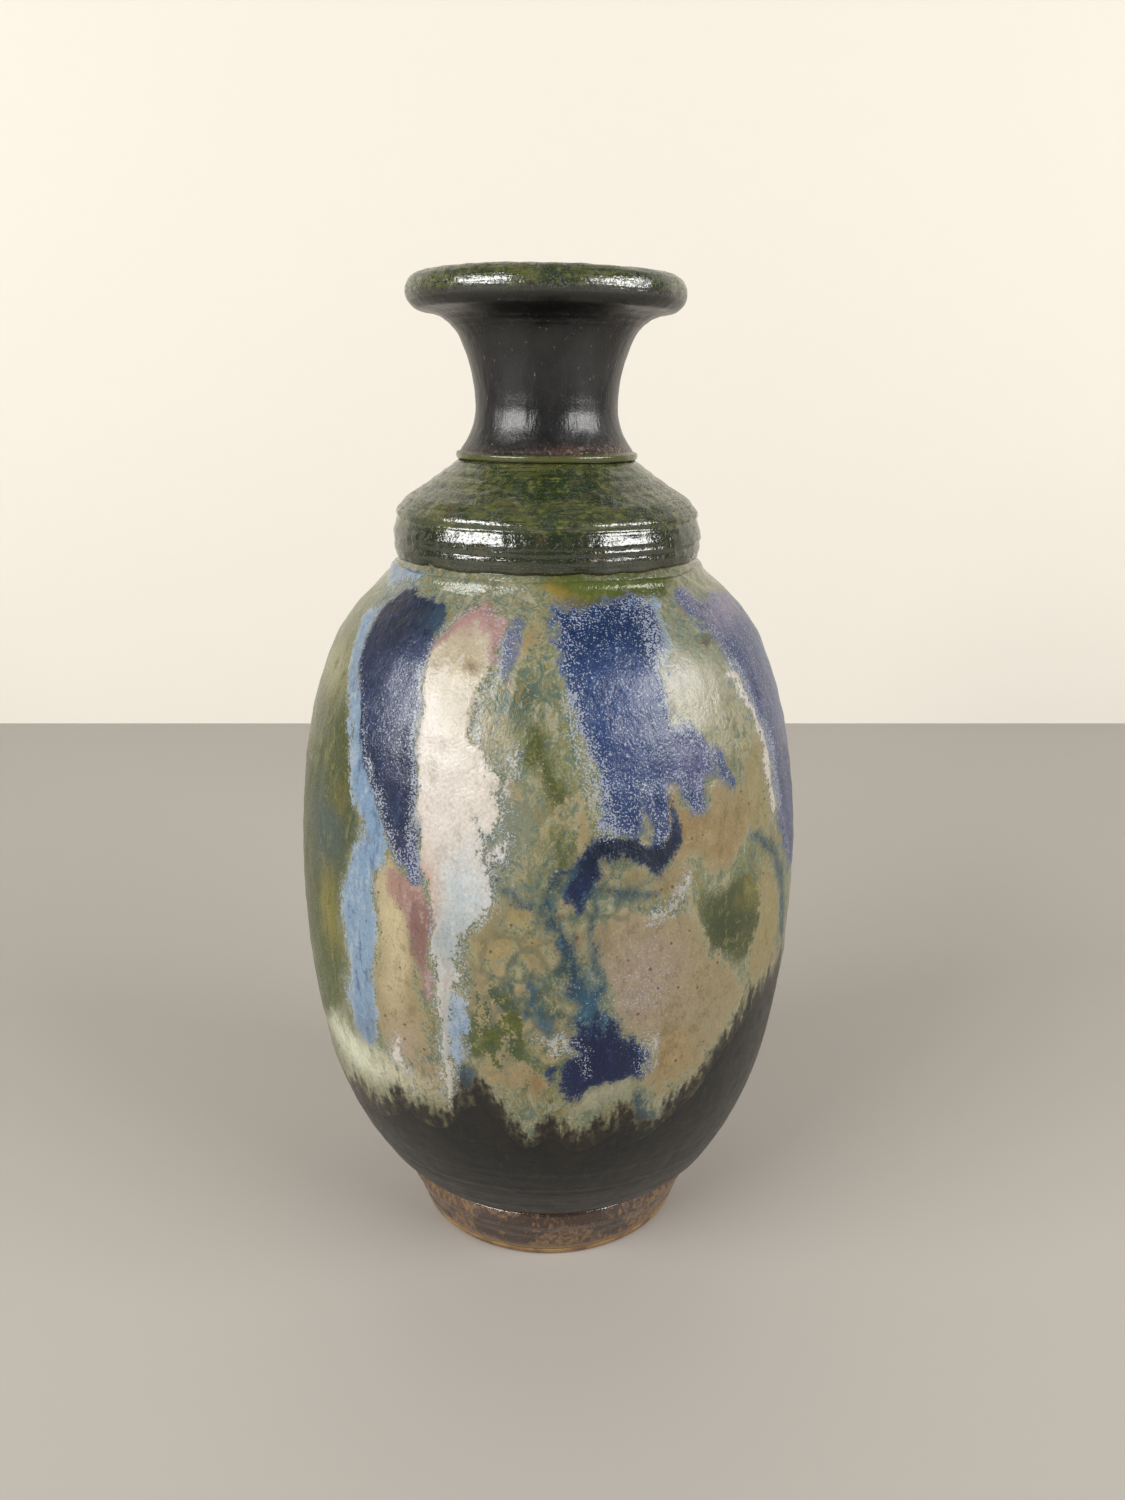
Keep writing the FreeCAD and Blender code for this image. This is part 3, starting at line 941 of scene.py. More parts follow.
class Board:
    """Wires up the nodes of one material; lengths are in millimetres."""

    def __init__(self, name: str) -> None:
        """Start a material with one shader."""
        self.material = bpy.data.materials.new(name)
        self.material.use_nodes = True
        self.tree = self.material.node_tree
        self.shader = self.tree.nodes["Principled BSDF"]
        spot = self.tree.nodes.new("ShaderNodeTexCoord").outputs["Object"]
        self.spot = self.scaled(spot, 1.0 / MM)
        split = self.node("ShaderNodeSeparateXYZ", self.spot)
        self.east, _, self.height = split.outputs
        self.kept: dict[str, Socket] = {}

    def node(self, kind: str, *inputs: Filling, named: dict[str, Filling] | None = None,
             **settings: object) -> bpy.types.Node:
        """Add a node.

        Args:
            kind: the node's type.
            inputs: what its first inputs hold, in order.
            named: what other inputs hold, by name.
            settings: the node's own settings.

        Returns:
            The node.
        """
        made = self.tree.nodes.new(kind)
        for key, value in settings.items():
            setattr(made, key, value)
        for socket, value in zip(made.inputs, inputs):
            self.fill(socket, value)
        for key, value in (named or {}).items():
            self.fill(made.inputs[key], value)
        return made

    def fill(self, socket: Socket, value: Filling) -> None:
        """Join or set one input."""
        if isinstance(value, bpy.types.NodeSocket):
            self.tree.links.new(value, socket)
        elif isinstance(value, str):
            socket.default_value = (*paint(value), 1.0)
        else:
            socket.default_value = value

    def math(self, operation: str, *values: Socket | float) -> Socket:
        """The result of one sum."""
        return self.node("ShaderNodeMath", *values, operation=operation).outputs[0]

    def times(self, first: Socket | float, second: Socket | float) -> Socket:
        """Two values multiplied."""
        return self.math("MULTIPLY", first, second)

    def plus(self, first: Socket | float, second: Socket | float) -> Socket:
        """Two values added."""
        return self.math("ADD", first, second)

    def minus(self, first: Socket | float, second: Socket | float) -> Socket:
        """One value less another."""
        return self.math("SUBTRACT", first, second)

    def inverse(self, value: Socket) -> Socket:
        """1 less a value."""
        return self.minus(1.0, value)

    def vector(self, operation: str, first: Socket, second: Filling) -> Socket:
        """The result of one vector sum."""
        return self.node("ShaderNodeVectorMath", first, second, operation=operation).outputs[0]

    def scaled(self, vector: Socket, amount: Socket | float) -> Socket:
        """A vector made longer or shorter, or a colour made lighter or darker."""
        return self.node("ShaderNodeVectorMath", vector, named={"Scale": amount},
                         operation="SCALE").outputs[0]

    def noise(self, wave: float, upright: float = 1.0, detail: float = 2.0, twist: float = 0.0,
              shift: float = 0.0) -> Socket:
        """Soft noise, 0.5 on average.

        Args:
            wave: size of its blotches.
            upright: how many times taller than wide they are.
            detail: octaves of finer noise.
            twist: how far it is stirred.
            shift: moves the pattern, so that two noises differ.

        Returns:
            The noise's factor.
        """
        place = self.vector("MULTIPLY", self.spot, (1.0, 1.0, 1.0 / upright))
        place = self.vector("ADD", place, (shift, shift * 0.7, shift * 1.3))
        made = self.node("ShaderNodeTexNoise", place, noise_dimensions="3D",
                         named={"Scale": 1.0 / wave, "Detail": detail, "Distortion": twist})
        return made.outputs[0]

    def shared(self, name: str, make: Callable[[], Socket]) -> Socket:
        """A pattern that several layers use, made the first time it is asked for."""
        if name not in self.kept:
            self.kept[name] = make()
        return self.kept[name]

    def warped(self, wave: float, reach: float) -> Socket:
        """The place on the pot, pushed about by soft noise of this wave, by up to this reach."""
        push = self.node("ShaderNodeTexNoise", self.spot, noise_dimensions="3D",
                         named={"Scale": 1.0 / wave, "Detail": 2.0})
        aside = self.vector("ADD", push.outputs["Color"], (-0.5, -0.5, -0.5))
        return self.vector("ADD", self.spot, self.scaled(aside, reach))

    def spots(self, pitch: float, size: float, share: float) -> Socket:
        """Scattered round specks.

        Args:
            pitch: distance between places where a speck may be.
            size: radius of the largest speck, as a part of the pitch.
            share: what part of the places has a speck.

        Returns:
            1 inside a speck, 0 outside.
        """
        cells = self.node("ShaderNodeTexVoronoi", self.spot, named={"Scale": 1.0 / pitch})
        luck = self.node("ShaderNodeSeparateColor", cells.outputs["Color"])
        radius = self.times(self.rise(luck.outputs[0], 1.0 - share, 1.0), size)
        return self.rise(self.minus(radius, cells.outputs["Distance"]), 0.0, 0.06)

    def rise(self, value: Socket, low: Socket | float, high: Socket | float) -> Socket:
        """A smooth rise from 0 to 1 between two values."""
        made = self.node("ShaderNodeMapRange", value, low, high, 0.0, 1.0,
                         interpolation_type="SMOOTHSTEP")
        return made.outputs[0]

    def fall(self, value: Socket, low: Socket | float, high: Socket | float) -> Socket:
        """A smooth fall from 1 to 0 between two values."""
        return self.inverse(self.rise(value, low, high))

    def between(self, value: Socket, low: float, high: float) -> Socket:
        """A number from low to high as a value goes from 0 to 1."""
        return self.node("ShaderNodeMapRange", value, 0.0, 1.0, low, high).outputs[0]

    def line(self, value: Socket, middle: float, half: float) -> Socket:
        """1 where a value is near a middle, falling to 0 at a distance."""
        away = self.math("ABSOLUTE", self.minus(value, middle))
        return self.fall(away, 0.0, half)

    def mix(self, part: Socket | float, first: Filling, second: Filling) -> Socket:
        """Two colours mixed."""
        made = self.node("ShaderNodeMix", data_type="RGBA")
        sockets = {item.identifier: item for item in made.inputs}
        self.fill(sockets["Factor_Float"], part)
        self.fill(sockets["A_Color"], first)
        self.fill(sockets["B_Color"], second)
        return next(item for item in made.outputs if item.identifier == "Result_Color")

    def stain(self, base: Filling, colour: Filling, part: Socket,
              strength: Socket | float) -> Socket:
        """A colour laid over another where a part says, at so much strength."""
        return self.mix(self.times(part, strength), base, colour)

    def trait(self, name: str) -> Socket:
        """A number stored on the piece's points."""
        return self.node("ShaderNodeAttribute", attribute_name=name).outputs["Fac"]

    def tone(self, name: str) -> Socket:
        """A colour stored on the piece's points."""
        return self.node("ShaderNodeAttribute", attribute_name=name).outputs["Vector"]

    def mingled(self, *parts: tuple[Socket, float]) -> Socket:
        """Noises added up round zero, each with its own strength."""
        shares = [self.times(self.minus(value, 0.5), amount) for value, amount in parts]
        return reduce(self.plus, shares)

    def ragged(self, value: Socket | float, *parts: tuple[Socket, float]) -> Socket:
        """A value pushed up and down by noises, each with its own strength."""
        return self.plus(value, self.mingled(*parts))

    def dressed(self, colour: Socket, roughness: Socket, ior: float, height: Socket,
                depth: float) -> bpy.types.Material:
        """Fill the shader and hand over the finished material.

        Args:
            colour: base colour.
            roughness: roughness.
            ior: index of refraction.
            height: fine relief of the surface.
            depth: how deep that relief is, in millimetres.

        Returns:
            The material.
        """
        rough = self.node("ShaderNodeBump", named={"Strength": 1.0, "Distance": depth * MM,
                                                   "Height": height})
        for name, value in (("Base Color", colour), ("Roughness", roughness), ("IOR", ior),
                            ("Normal", rough.outputs[0])):
            self.fill(self.shader.inputs[name], value)
        return self.material


@dataclass(frozen=True)
class BlackGlaze:
    """Satin black glaze, brown where it is thin."""

    black: Hex = "#0c0d0b"
    brown: Hex = "#17140f"
    roughness: float = 0.34
    ior: float = 1.44

    def colour(self, board: Board) -> Socket:
        """The glaze's mottled colour."""
        cloud = board.noise(7.0, upright=2.5, detail=3.0, shift=3.0)
        streak = board.noise(0.9, upright=14.0, detail=2.0, shift=9.0)
        base = board.mix(board.rise(cloud, 0.42, 0.68), self.black, self.brown)
        base = board.mix(board.rise(streak, 0.58, 0.74), base, "#1c1d1a")
        return board.mix(board.spots(2.4, 0.14, 0.16), base, "#403f38")

    def material(self) -> bpy.types.Material:
        """The base coat's material."""
        board = Board("black_glaze_base")
        grain = board.noise(0.6, detail=3.0)
        cloud = board.noise(3.0, detail=2.0, shift=5.0)
        rough = board.ragged(self.roughness, (grain, 0.25), (cloud, 0.2))
        return board.dressed(self.colour(board), rough, self.ior,
                             board.mingled((grain, 1.0), (cloud, 1.5)), 0.05)


@dataclass(frozen=True)
class NeckGlaze:
    """Charcoal satin glaze on the neck, crusted where it meets the collar, with painted glints in
    upright dashes.
    """

    charcoal: Hex = "#111112"
    smoke: Hex = "#1a1919"
    crust: Hex = "#4b3833"
    olive: Hex = "#474a28"
    roughness: float = 0.32
    ior: float = 1.52

    def material(self) -> bpy.types.Material:
        """The neck's material."""
        board = Board("neck_charcoal")
        cloud = board.noise(6.0, upright=1.4, detail=3.0)
        streak = board.noise(0.55, upright=11.0, detail=2.0, shift=4.0)
        grain = board.noise(0.5, detail=2.0, shift=7.0)
        mottle = board.noise(1.7, detail=4.0, twist=0.8, shift=2.0)
        base = board.mix(board.rise(cloud, 0.42, 0.62), self.charcoal, self.smoke)
        # Lighter upright dashes: painted glints of light, besides the streaks in the bump.
        glint_dashes = board.times(board.rise(streak, 0.66, 0.74), board.rise(grain, 0.42, 0.6))
        base = board.stain(base, "#746f69", glint_dashes, 0.7)
        low = board.ragged(board.height, (mottle, 6.0), (grain, 2.0))
        crust = board.times(board.fall(low, 168.2, 169.8),
                            board.between(board.rise(board.east, -5.0, 7.0), 0.3, 1.0))
        blotch = board.mix(board.rise(mottle, 0.45, 0.56), "#2b2523", self.crust)
        blotch = board.mix(board.rise(grain, 0.56, 0.66), blotch, "#7f6e55")
        base = board.stain(base, blotch, crust, 0.9)
        bead = board.fall(board.ragged(board.height, (mottle, 1.2)), 167.1, 167.5)
        base = board.mix(bead, base, self.olive)
        high = board.ragged(board.height, (mottle, 3.0))
        base = board.mix(board.rise(high, 192.6, 195.6), base, "#20201a")
        base = board.mix(board.spots(2.6, 0.12, 0.16), base, "#58524a")
        gloss = board.times(bead, -0.14)
        rough = board.ragged(self.roughness, (grain, 0.2), (cloud, 0.25))
        return board.dressed(base, board.plus(rough, gloss), self.ior,
                             board.mingled((streak, 1.2), (grain, 0.8), (mottle, 0.8)), 0.05)


@dataclass(frozen=True)
class GreenGlaze:
    """Glossy bottle green and olive glaze, pitted black and thin and brown on edges.

    Attributes:
        name: the material's name.
        brown_below: height under which it thins to brown.
        fades: heights between which it gives way, downwards, to the charcoal of the neck.
        pitted: heights between which pits gather.
        deep_below: height under which it is thick and dark.
    """

    name: str
    brown_below: float
    pitted: tuple[float, float]
    deep_below: float
    fades: Place = (0.0, 1.0)
    bottle: Hex = "#212e16"
    olive: Hex = "#484b23"
    moss: Hex = "#626331"
    brown: Hex = "#3a2818"
    roughness: float = 0.12
    ior: float = 1.8

    def material(self) -> bpy.types.Material:
        """The glaze's material."""
        board = Board(self.name)
        cloud = board.noise(7.0, upright=0.5, detail=3.0, twist=0.6)
        mottle = board.noise(1.5, upright=0.6, detail=4.0, twist=0.5, shift=6.0)
        grain = board.noise(0.42, detail=2.0, shift=2.0)
        lines = board.noise(5.0, upright=0.07, detail=2.0, shift=8.0)
        both = board.plus(board.times(cloud, 0.6), board.times(mottle, 0.4))
        base = board.mix(board.rise(both, 0.41, 0.58), self.bottle, self.olive)
        base = board.stain(base, self.moss, board.rise(mottle, 0.52, 0.72), 0.7)
        deep = board.fall(board.height, self.deep_below - 1.2, self.deep_below)
        base = board.stain(base, "#151b0d", deep, 0.8)
        base = board.stain(base, "#1c2711", board.rise(lines, 0.54, 0.62), 0.75)
        patch = board.rise(board.noise(4.5, upright=0.4, detail=2.0, shift=12.0), 0.6, 0.68)
        base = board.stain(base, "#3f3620", patch, 0.55)
        gather = board.times(board.rise(board.height, self.pitted[0] - 1.0, self.pitted[0] + 1.0),
                             board.fall(board.height, self.pitted[1], self.pitted[1] + 2.0))
        clump = board.noise(2.6, upright=0.22, detail=2.0, shift=15.0)
        depth = board.plus(board.times(gather, 0.06), board.times(board.minus(clump, 0.5), 0.42))
        pits = board.rise(board.plus(grain, depth), 0.62, 0.66)
        base = board.stain(base, "#121510", pits, 0.9)
        low = board.ragged(board.height, (mottle, 1.2))
        thin = board.fall(low, self.brown_below - 0.3, self.brown_below + 0.5)
        base = board.stain(base, self.brown, thin, 0.8)
        rough = board.ragged(self.roughness, (grain, 0.2), (mottle, 0.12))
        rough = board.plus(rough, board.times(pits, 0.3))
        gone = board.fall(board.ragged(board.height, (mottle, 2.2), (lines, 1.4)), *self.fades)
        base = board.mix(gone, base, "#1a1a15")
        rough = board.plus(rough, board.times(gone, 0.16))
        peel = board.noise(0.8, detail=2.0, shift=20.0)
        relief = board.mingled((peel, 1.6), (grain, 1.0), (lines, 1.0))
        return board.dressed(base, rough, self.ior, board.minus(relief, board.times(pits, 0.8)),
                             0.05)


@dataclass(frozen=True)
class FootGlaze:
    """Glossy glaze on the foot, mottled ochre and purple brown."""

    ochre: Hex = "#6c5134"
    brown: Hex = "#4c3626"
    purple: Hex = "#33241c"
    roughness: float = 0.16
    ior: float = 1.7

    def material(self) -> bpy.types.Material:
        """The foot glaze's material."""
        board = Board("foot_brown")
        cloud = board.noise(9.0, upright=0.8, detail=3.0)
        mottle = board.noise(1.1, upright=1.4, detail=4.0, twist=0.4, shift=5.0)
        grain = board.noise(0.4, detail=2.0, shift=2.0)
        base = board.mix(board.rise(mottle, 0.42, 0.6), self.brown, self.ochre)
        both = board.plus(board.times(cloud, 0.7), board.times(mottle, 0.3))
        middle = board.line(board.east, 2.0, 22.0)
        both = board.minus(both, board.times(middle, 0.1))
        base = board.mix(board.fall(both, 0.4, 0.5), base, self.purple)
        base = board.stain(base, "#2a1c15", board.rise(grain, 0.6, 0.66), 0.7)
        base = board.stain(base, "#a07c4c", board.rise(grain, 0.36, 0.3), 0.25)
        edge = board.fall(board.ragged(board.height, (mottle, 1.5)), 2.0, 3.2)
        base = board.stain(base, "#80633d", edge, 0.7)
        rough = board.ragged(self.roughness, (grain, 0.3), (mottle, 0.2))
        relief = board.mingled((grain, 1.0), (mottle, 1.0))
        return board.dressed(base, rough, self.ior, relief, 0.07)


@dataclass(frozen=True)
class ClayFinish:
    """Bare stoneware, or the slip between its sections.

    Attributes:
        name: the material's name.
        colour: the fired clay's colour.
        dark: colour of its darker grains.
        roughness: how dull it is.
        ior: index of refraction.
    """

    name: str
    colour: Hex
    dark: Hex
    roughness: float = 0.8
    ior: float = 1.45

    def material(self) -> bpy.types.Material:
        """The clay's material."""
        board = Board(self.name)
        cloud = board.noise(6.0, detail=3.0)
        grain = board.noise(0.45, detail=3.0, shift=3.0)
        base = board.mix(board.rise(cloud, 0.4, 0.62), self.colour, self.dark)
        base = board.mix(board.rise(grain, 0.56, 0.68), base, self.dark)
        base = board.mix(board.spots(1.8, 0.2, 0.3), base, "#4b3524")
        return board.dressed(base, board.ragged(self.roughness, (grain, 0.2)), self.ior,
                             board.mingled((grain, 1.0), (cloud, 0.6)), 0.08)


@dataclass(frozen=True)
class LinerGlaze:
    """Dark glossy glaze inside the pot."""

    dark: Hex = "#22241a"
    green: Hex = "#3c4426"
    roughness: float = 0.2
    ior: float = 1.6

    def material(self) -> bpy.types.Material:
        """The liner's material."""
        board = Board("liner_dark")
        cloud = board.noise(8.0, upright=2.0, detail=3.0)
        grain = board.noise(0.6, detail=2.0, shift=3.0)
        high = board.ragged(board.height, (cloud, 30.0))
        base = board.mix(board.rise(high, 184.0, 198.0), self.dark, self.green)
        base = board.mix(board.rise(grain, 0.6, 0.7), base, "#12130e")
        rough = board.ragged(self.roughness, (grain, 0.2), (cloud, 0.2))
        return board.dressed(base, rough, self.ior, board.mingled((grain, 1.0), (cloud, 2.0)), 0.06)


@dataclass(frozen=True)
class Blend:
    """How one poured glaze shows on the body.

    Attributes:
        glaze: which glaze.
        ragged: how far its edge is torn, in millimetres.
        soft: half the width of its edge.
        deep: colour of its darker mottling.
        pale: colour of its lighter mottling.
        rim: colour of the line along its edge.
        rim_part: how strong that line is.
        mottled: how strong the mottling is.
        runs: how far the mottling is drawn out into upright streaks, from 0 to 1.
    """

    glaze: Glaze
    ragged: float
    soft: float
    deep: Hex
    pale: Hex
    rim: Hex
    rim_part: float
    mottled: float
    runs: float


@dataclass(frozen=True)
class RunningGlaze:
    """The poured glazes of the body, fused over one another and running into the black."""

    blends: tuple[Blend, ...] = (
        Blend(Glaze.OLIVE, 5.0, 1.4, "#465130", "#8f8a56", "#a8a67e", 0.1, 0.65, 0.4),
        Blend(Glaze.TAN, 5.0, 0.7, "#7f683c", "#b9a681", "#b3b292", 0.5, 0.42, 0.0),
        Blend(Glaze.CREAM, 3.6, 0.4, "#b5a99a", "#f0e9e2", "#d6d3cc", 0.3, 0.35, 0.9),
        Blend(Glaze.ICE, 4.8, 0.6, "#5c7494", "#b4c2cc", "#bcc9d1", 0.45, 0.75, 0.95),
        Blend(Glaze.ROSE, 4.0, 0.8, "#7b5a55", "#cdb3a8", "#c0a79c", 0.2, 0.6, 0.7),
        Blend(Glaze.ROYAL, 3.6, 0.7, "#182f5e", "#476092", "#a3a8b4", 0.35, 0.7, 0.6),
        Blend(Glaze.NAVY, 3.2, 0.6, "#11203f", "#284372", "#5c7090", 0.3, 0.6, 0.6),
        Blend(Glaze.TEAL, 4.0, 1.5, "#223c4c", "#5d7f8c", "#8aa0a0", 0.1, 0.7, 0.3))
    ground_deep: Hex = "#66715a"
    ground_pale: Hex = "#b3ae94"
    cell_pitch: float = 5.6
    depth: float = 0.55
    roughness: float = 0.33
    ior: float = 1.46

    def material(self, black: BlackGlaze) -> bpy.types.Material:
        """The running glazes' material.

        Args:
            black: the glaze that they run into.

        Returns:
            The material; it reads the traits that BodyGlazes stores.
        """
        board = Board("running_glaze_body")
        curl = board.noise(4.6, upright=1.7, detail=3.0, twist=1.9)
        mid = board.noise(1.7, upright=1.5, detail=3.0, twist=0.7, shift=4.0)
        fine = board.noise(0.5, upright=1.3, detail=2.0, shift=8.0)
        streak = board.noise(2.0, upright=6.0, detail=3.0, twist=0.4, shift=11.0)
        base = self.ground(board, curl, fine, streak)
        for blend in self.blends:
            base = self.layer(board, base, blend, (curl, mid, fine, streak))
            if blend.glaze is Glaze.TAN:
                base = self.cells(board, base)
        base = self.crystals(board, base, fine, mid)
        base = board.scaled(self.specks(board, base, fine), self.depth)
        base = self.run_into(board, base, black, (mid, fine, streak))
        rough = board.ragged(self.roughness, (mid, 0.25), (fine, 0.2))
        rough = board.minus(rough, board.times(board.trait("wet"), 0.17))
        relief = board.mingled((curl, 0.8), (mid, 1.2), (fine, 0.8), (streak, 0.5))
        return board.dressed(base, rough, self.ior, relief, 0.1)

    def ground(self, board: Board, curl: Socket, fine: Socket, streak: Socket) -> Socket:
        """Mottled glaze under all the pours, stirred into flames."""
        base = board.tone("tone_ground")
        stir = board.trait("stir")
        flame = board.plus(board.times(curl, 0.6), board.times(streak, 0.4))
        other = board.noise(3.0, upright=1.3, detail=4.0, twist=2.6, shift=17.0)
        for value, low, high, part, colour in (
                (flame, 0.46, 0.38, 0.65, self.ground_deep),
                (flame, 0.53, 0.60, 0.65, self.ground_pale),
                (other, 0.55, 0.64, 0.6, "#55706e"),
                (other, 0.43, 0.36, 0.55, "#a08447")):
            shown = board.times(board.rise(value, low, high), part)
            base = board.stain(base, colour, shown, stir)
        for value, part, colour in ((curl, 0.55, "#4f5f4c"), (other, 0.5, "#d0cbae")):
            vein = board.times(board.line(value, 0.5, 0.02), part)
            base = board.stain(base, colour, vein, stir)
        return board.scaled(base, board.between(fine, 0.82, 1.18))

    def layer(self, board: Board, base: Socket, blend: Blend,
              noises: tuple[Socket, Socket, Socket, Socket]) -> Socket:
        """One poured glaze laid over what is under it.

        Args:
            board: the material's board.
            base: colour so far.
            blend: how the glaze shows.
            noises: curling, middle, fine and streaky noise.

        Returns:
            The new colour.
        """
        curl, mid, fine, streak = noises
        name = blend.glaze.value
        inside = board.trait(f"in_{name}")
        tone = board.tone(f"tone_{name}")
        torn = board.mingled((curl, 0.5 * blend.ragged), (mid, 0.9 * blend.ragged),
                             (fine, 0.8 * blend.ragged), (streak, 0.4 * blend.ragged),
                             (self.grit(board), 0.6 * blend.ragged))
        edge = board.plus(inside, torn)
        cover = board.rise(edge, -blend.soft, blend.soft)
        flow = board.mingled((curl, 0.5 * (1.0 - blend.runs)), (mid, 0.4), (fine, 0.15),
                             (streak, 0.6 * blend.runs))
        shade = board.stain(tone, blend.deep, board.rise(flow, -0.01, -0.13), blend.mottled)
        shade = board.stain(shade, blend.pale, board.rise(flow, 0.02, 0.13), blend.mottled)
        shade = board.scaled(shade, board.between(fine, 0.76, 1.24))
        shade = board.scaled(shade, board.between(self.grit(board), 0.84, 1.16))
        if blend.rim_part > 0.0:
            rim = board.times(board.line(edge, 0.15, 0.75), blend.rim_part)
            shade = board.mix(rim, shade, blend.rim)
        return board.mix(cover, base, shade)

    def grit(self, board: Board) -> Socket:
        """The finest grain of the glaze."""
        return board.shared("grit", lambda: board.noise(0.34, detail=1.0, shift=30.0))

    def cells(self, board: Board, base: Socket) -> Socket:
        """Dark outlines round the drops of tan glaze that never quite fused."""
        place = board.warped(3.4, 3.2)
        made = board.node("ShaderNodeTexVoronoi", place, feature="DISTANCE_TO_EDGE",
                          named={"Scale": 1.0 / self.cell_pitch})
        line = board.fall(made.outputs["Distance"], 0.02, 0.16)
        shown = board.times(line, board.trait("cells"))
        return board.stain(base, "#3d5650", shown, 0.62)

    def crystals(self, board: Board, base: Socket, fine: Socket, mid: Socket) -> Socket:
        """White crystals where the blue glazes were thick, and along pale edges."""
        dense = board.trait("crystal")
        grit = self.grit(board)
        level = board.minus(0.71, board.times(dense, 0.23))
        lifted = board.ragged(grit, (mid, 0.18), (fine, 0.08))
        part = board.rise(board.minus(lifted, level), 0.0, 0.05)
        part = board.times(part, board.times(board.rise(dense, 0.0, 0.2), 0.8))
        return board.mix(part, base, "#b9c0cc")

    def specks(self, board: Board, base: Socket, fine: Socket) -> Socket:
        """Iron specks and pinholes."""
        iron = board.trait("iron")
        spots = board.times(board.spots(1.9, 0.22, 0.5), iron)
        base = board.stain(base, "#6b4a26", spots, 0.8)
        tiny = board.times(board.rise(fine, 0.66, 0.72), board.times(iron, 0.6))
        base = board.mix(tiny, base, "#7b6236")
        return board.stain(base, "#4a3a26", board.spots(4.2, 0.1, 0.2), 0.7)

    def run_into(self, board: Board, base: Socket, black: BlackGlaze,
                 noises: tuple[Socket, Socket, Socket]) -> Socket:
        """The lower edge, streaked and fading through brown to black.

        Args:
            board: the material's board.
            base: colour above the edge.
            black: the glaze under the edge.
            noises: middle, fine and streaky noise.

        Returns:
            The colour.
        """
        mid, fine, streak = noises
        edge = board.ragged(board.trait("above"), (streak, 16.0), (mid, 6.0), (fine, 4.0))
        brown = board.mix(board.rise(mid, 0.42, 0.62), "#211b14", "#4a442f")
        clear = board.mix(board.rise(edge, -1.6, 3.2), brown, base)
        bare = board.fall(edge, -5.6, 0.8)
        return board.mix(bare, clear, black.colour(board))


# ---------------------------------------------------------------------------------------------
# Parts of the pot
# ---------------------------------------------------------------------------------------------

@dataclass
class ClayCore:
    """The clay sections and slips of the frame, all of them hidden but the recess under the pot."""

    clay_nodes: tuple[str, ...] = ("body_wall", "shoulder_collar", "neck_tube", "rim_roll")
    slip_nodes: tuple[str, ...] = ("foot_slip", "collar_slip", "neck_slip", "rim_slip")
    clay: ClayFinish = ClayFinish("bare_clay", "#a3845a", "#7c5f3e")
    slip: ClayFinish = ClayFinish("joining_slip", "#4a412e", "#352e21", 0.85)

    def build(self) -> None:
        """Dress the frame's own clay."""
        for finish, nodes in ((self.clay, self.clay_nodes), (self.slip, self.slip_nodes)):
            material = finish.material()
            for name in nodes:
                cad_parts[name].data.materials.clear()
                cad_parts[name].data.materials.append(material)
            LOG.info("%s on %s", finish.name, ", ".join(nodes))


@dataclass
class Foot:
    """Turned foot ring and the glaze on its flank."""

    columns: int = 360
    corners: tuple[Place, ...] = (
        (30.6, 8.2), (30.6, 12.9), (32.7, 12.9), (32.35, 10.4), (29.62, 2.1), (29.98, 1.72),
        (29.55, 0.4), (28.9, 0.0), (24.2, 0.0), (23.9, 0.6), (22.6, 8.2))
    roll: float = 0.55
    roll_height: float = 10.2
    crease_height: float = 13.2
    glaze: FootGlaze = FootGlaze()
    clay: ClayFinish = ClayFinish("foot_clay", "#8a6e48", "#634a30", 0.75)

    def build(self) -> None:
        """Make the ring and its glaze."""
        ring = Surface.turned(outlined(self.corners, 0.45), self.columns)
        worked = 0.05 * Ripples(1, 2.2).at(ring) * smooth_step(0.3, 1.0, ring.height)
        clay = ringed_object("foot_clay", ring.points(worked).reshape(-1, 3), *ring.angle.shape)
        finish_piece(clay, self.clay.material(), "stoneware_clay", "foot_ring")
        flank = Surface.turned(LINES.foot(0.3), self.columns)
        waver = 0.35 * Ripples(2, 14.0).at(flank)
        low = smooth_step(2.0, 3.4, flank.height + waver)
        relief = 0.14 * low - 0.12 + 0.05 * Ripples(3, 2.6).at(flank) * low
        relief += 0.06 * np.sin(flank.height * 2.1 + 0.6 * Ripples(4, 20.0).at(flank)) * low
        relief += self.roll * bump_at(flank.height + 0.4 * waver, self.roll_height, 1.5)
        relief -= 0.35 * flank.level(self.crease_height, 0.5)
        shell = TurnedShell("foot_coat", flank, relief)
        finish_piece(shell.build(), self.glaze.material(), "brown_foot_glaze", "foot_glaze")


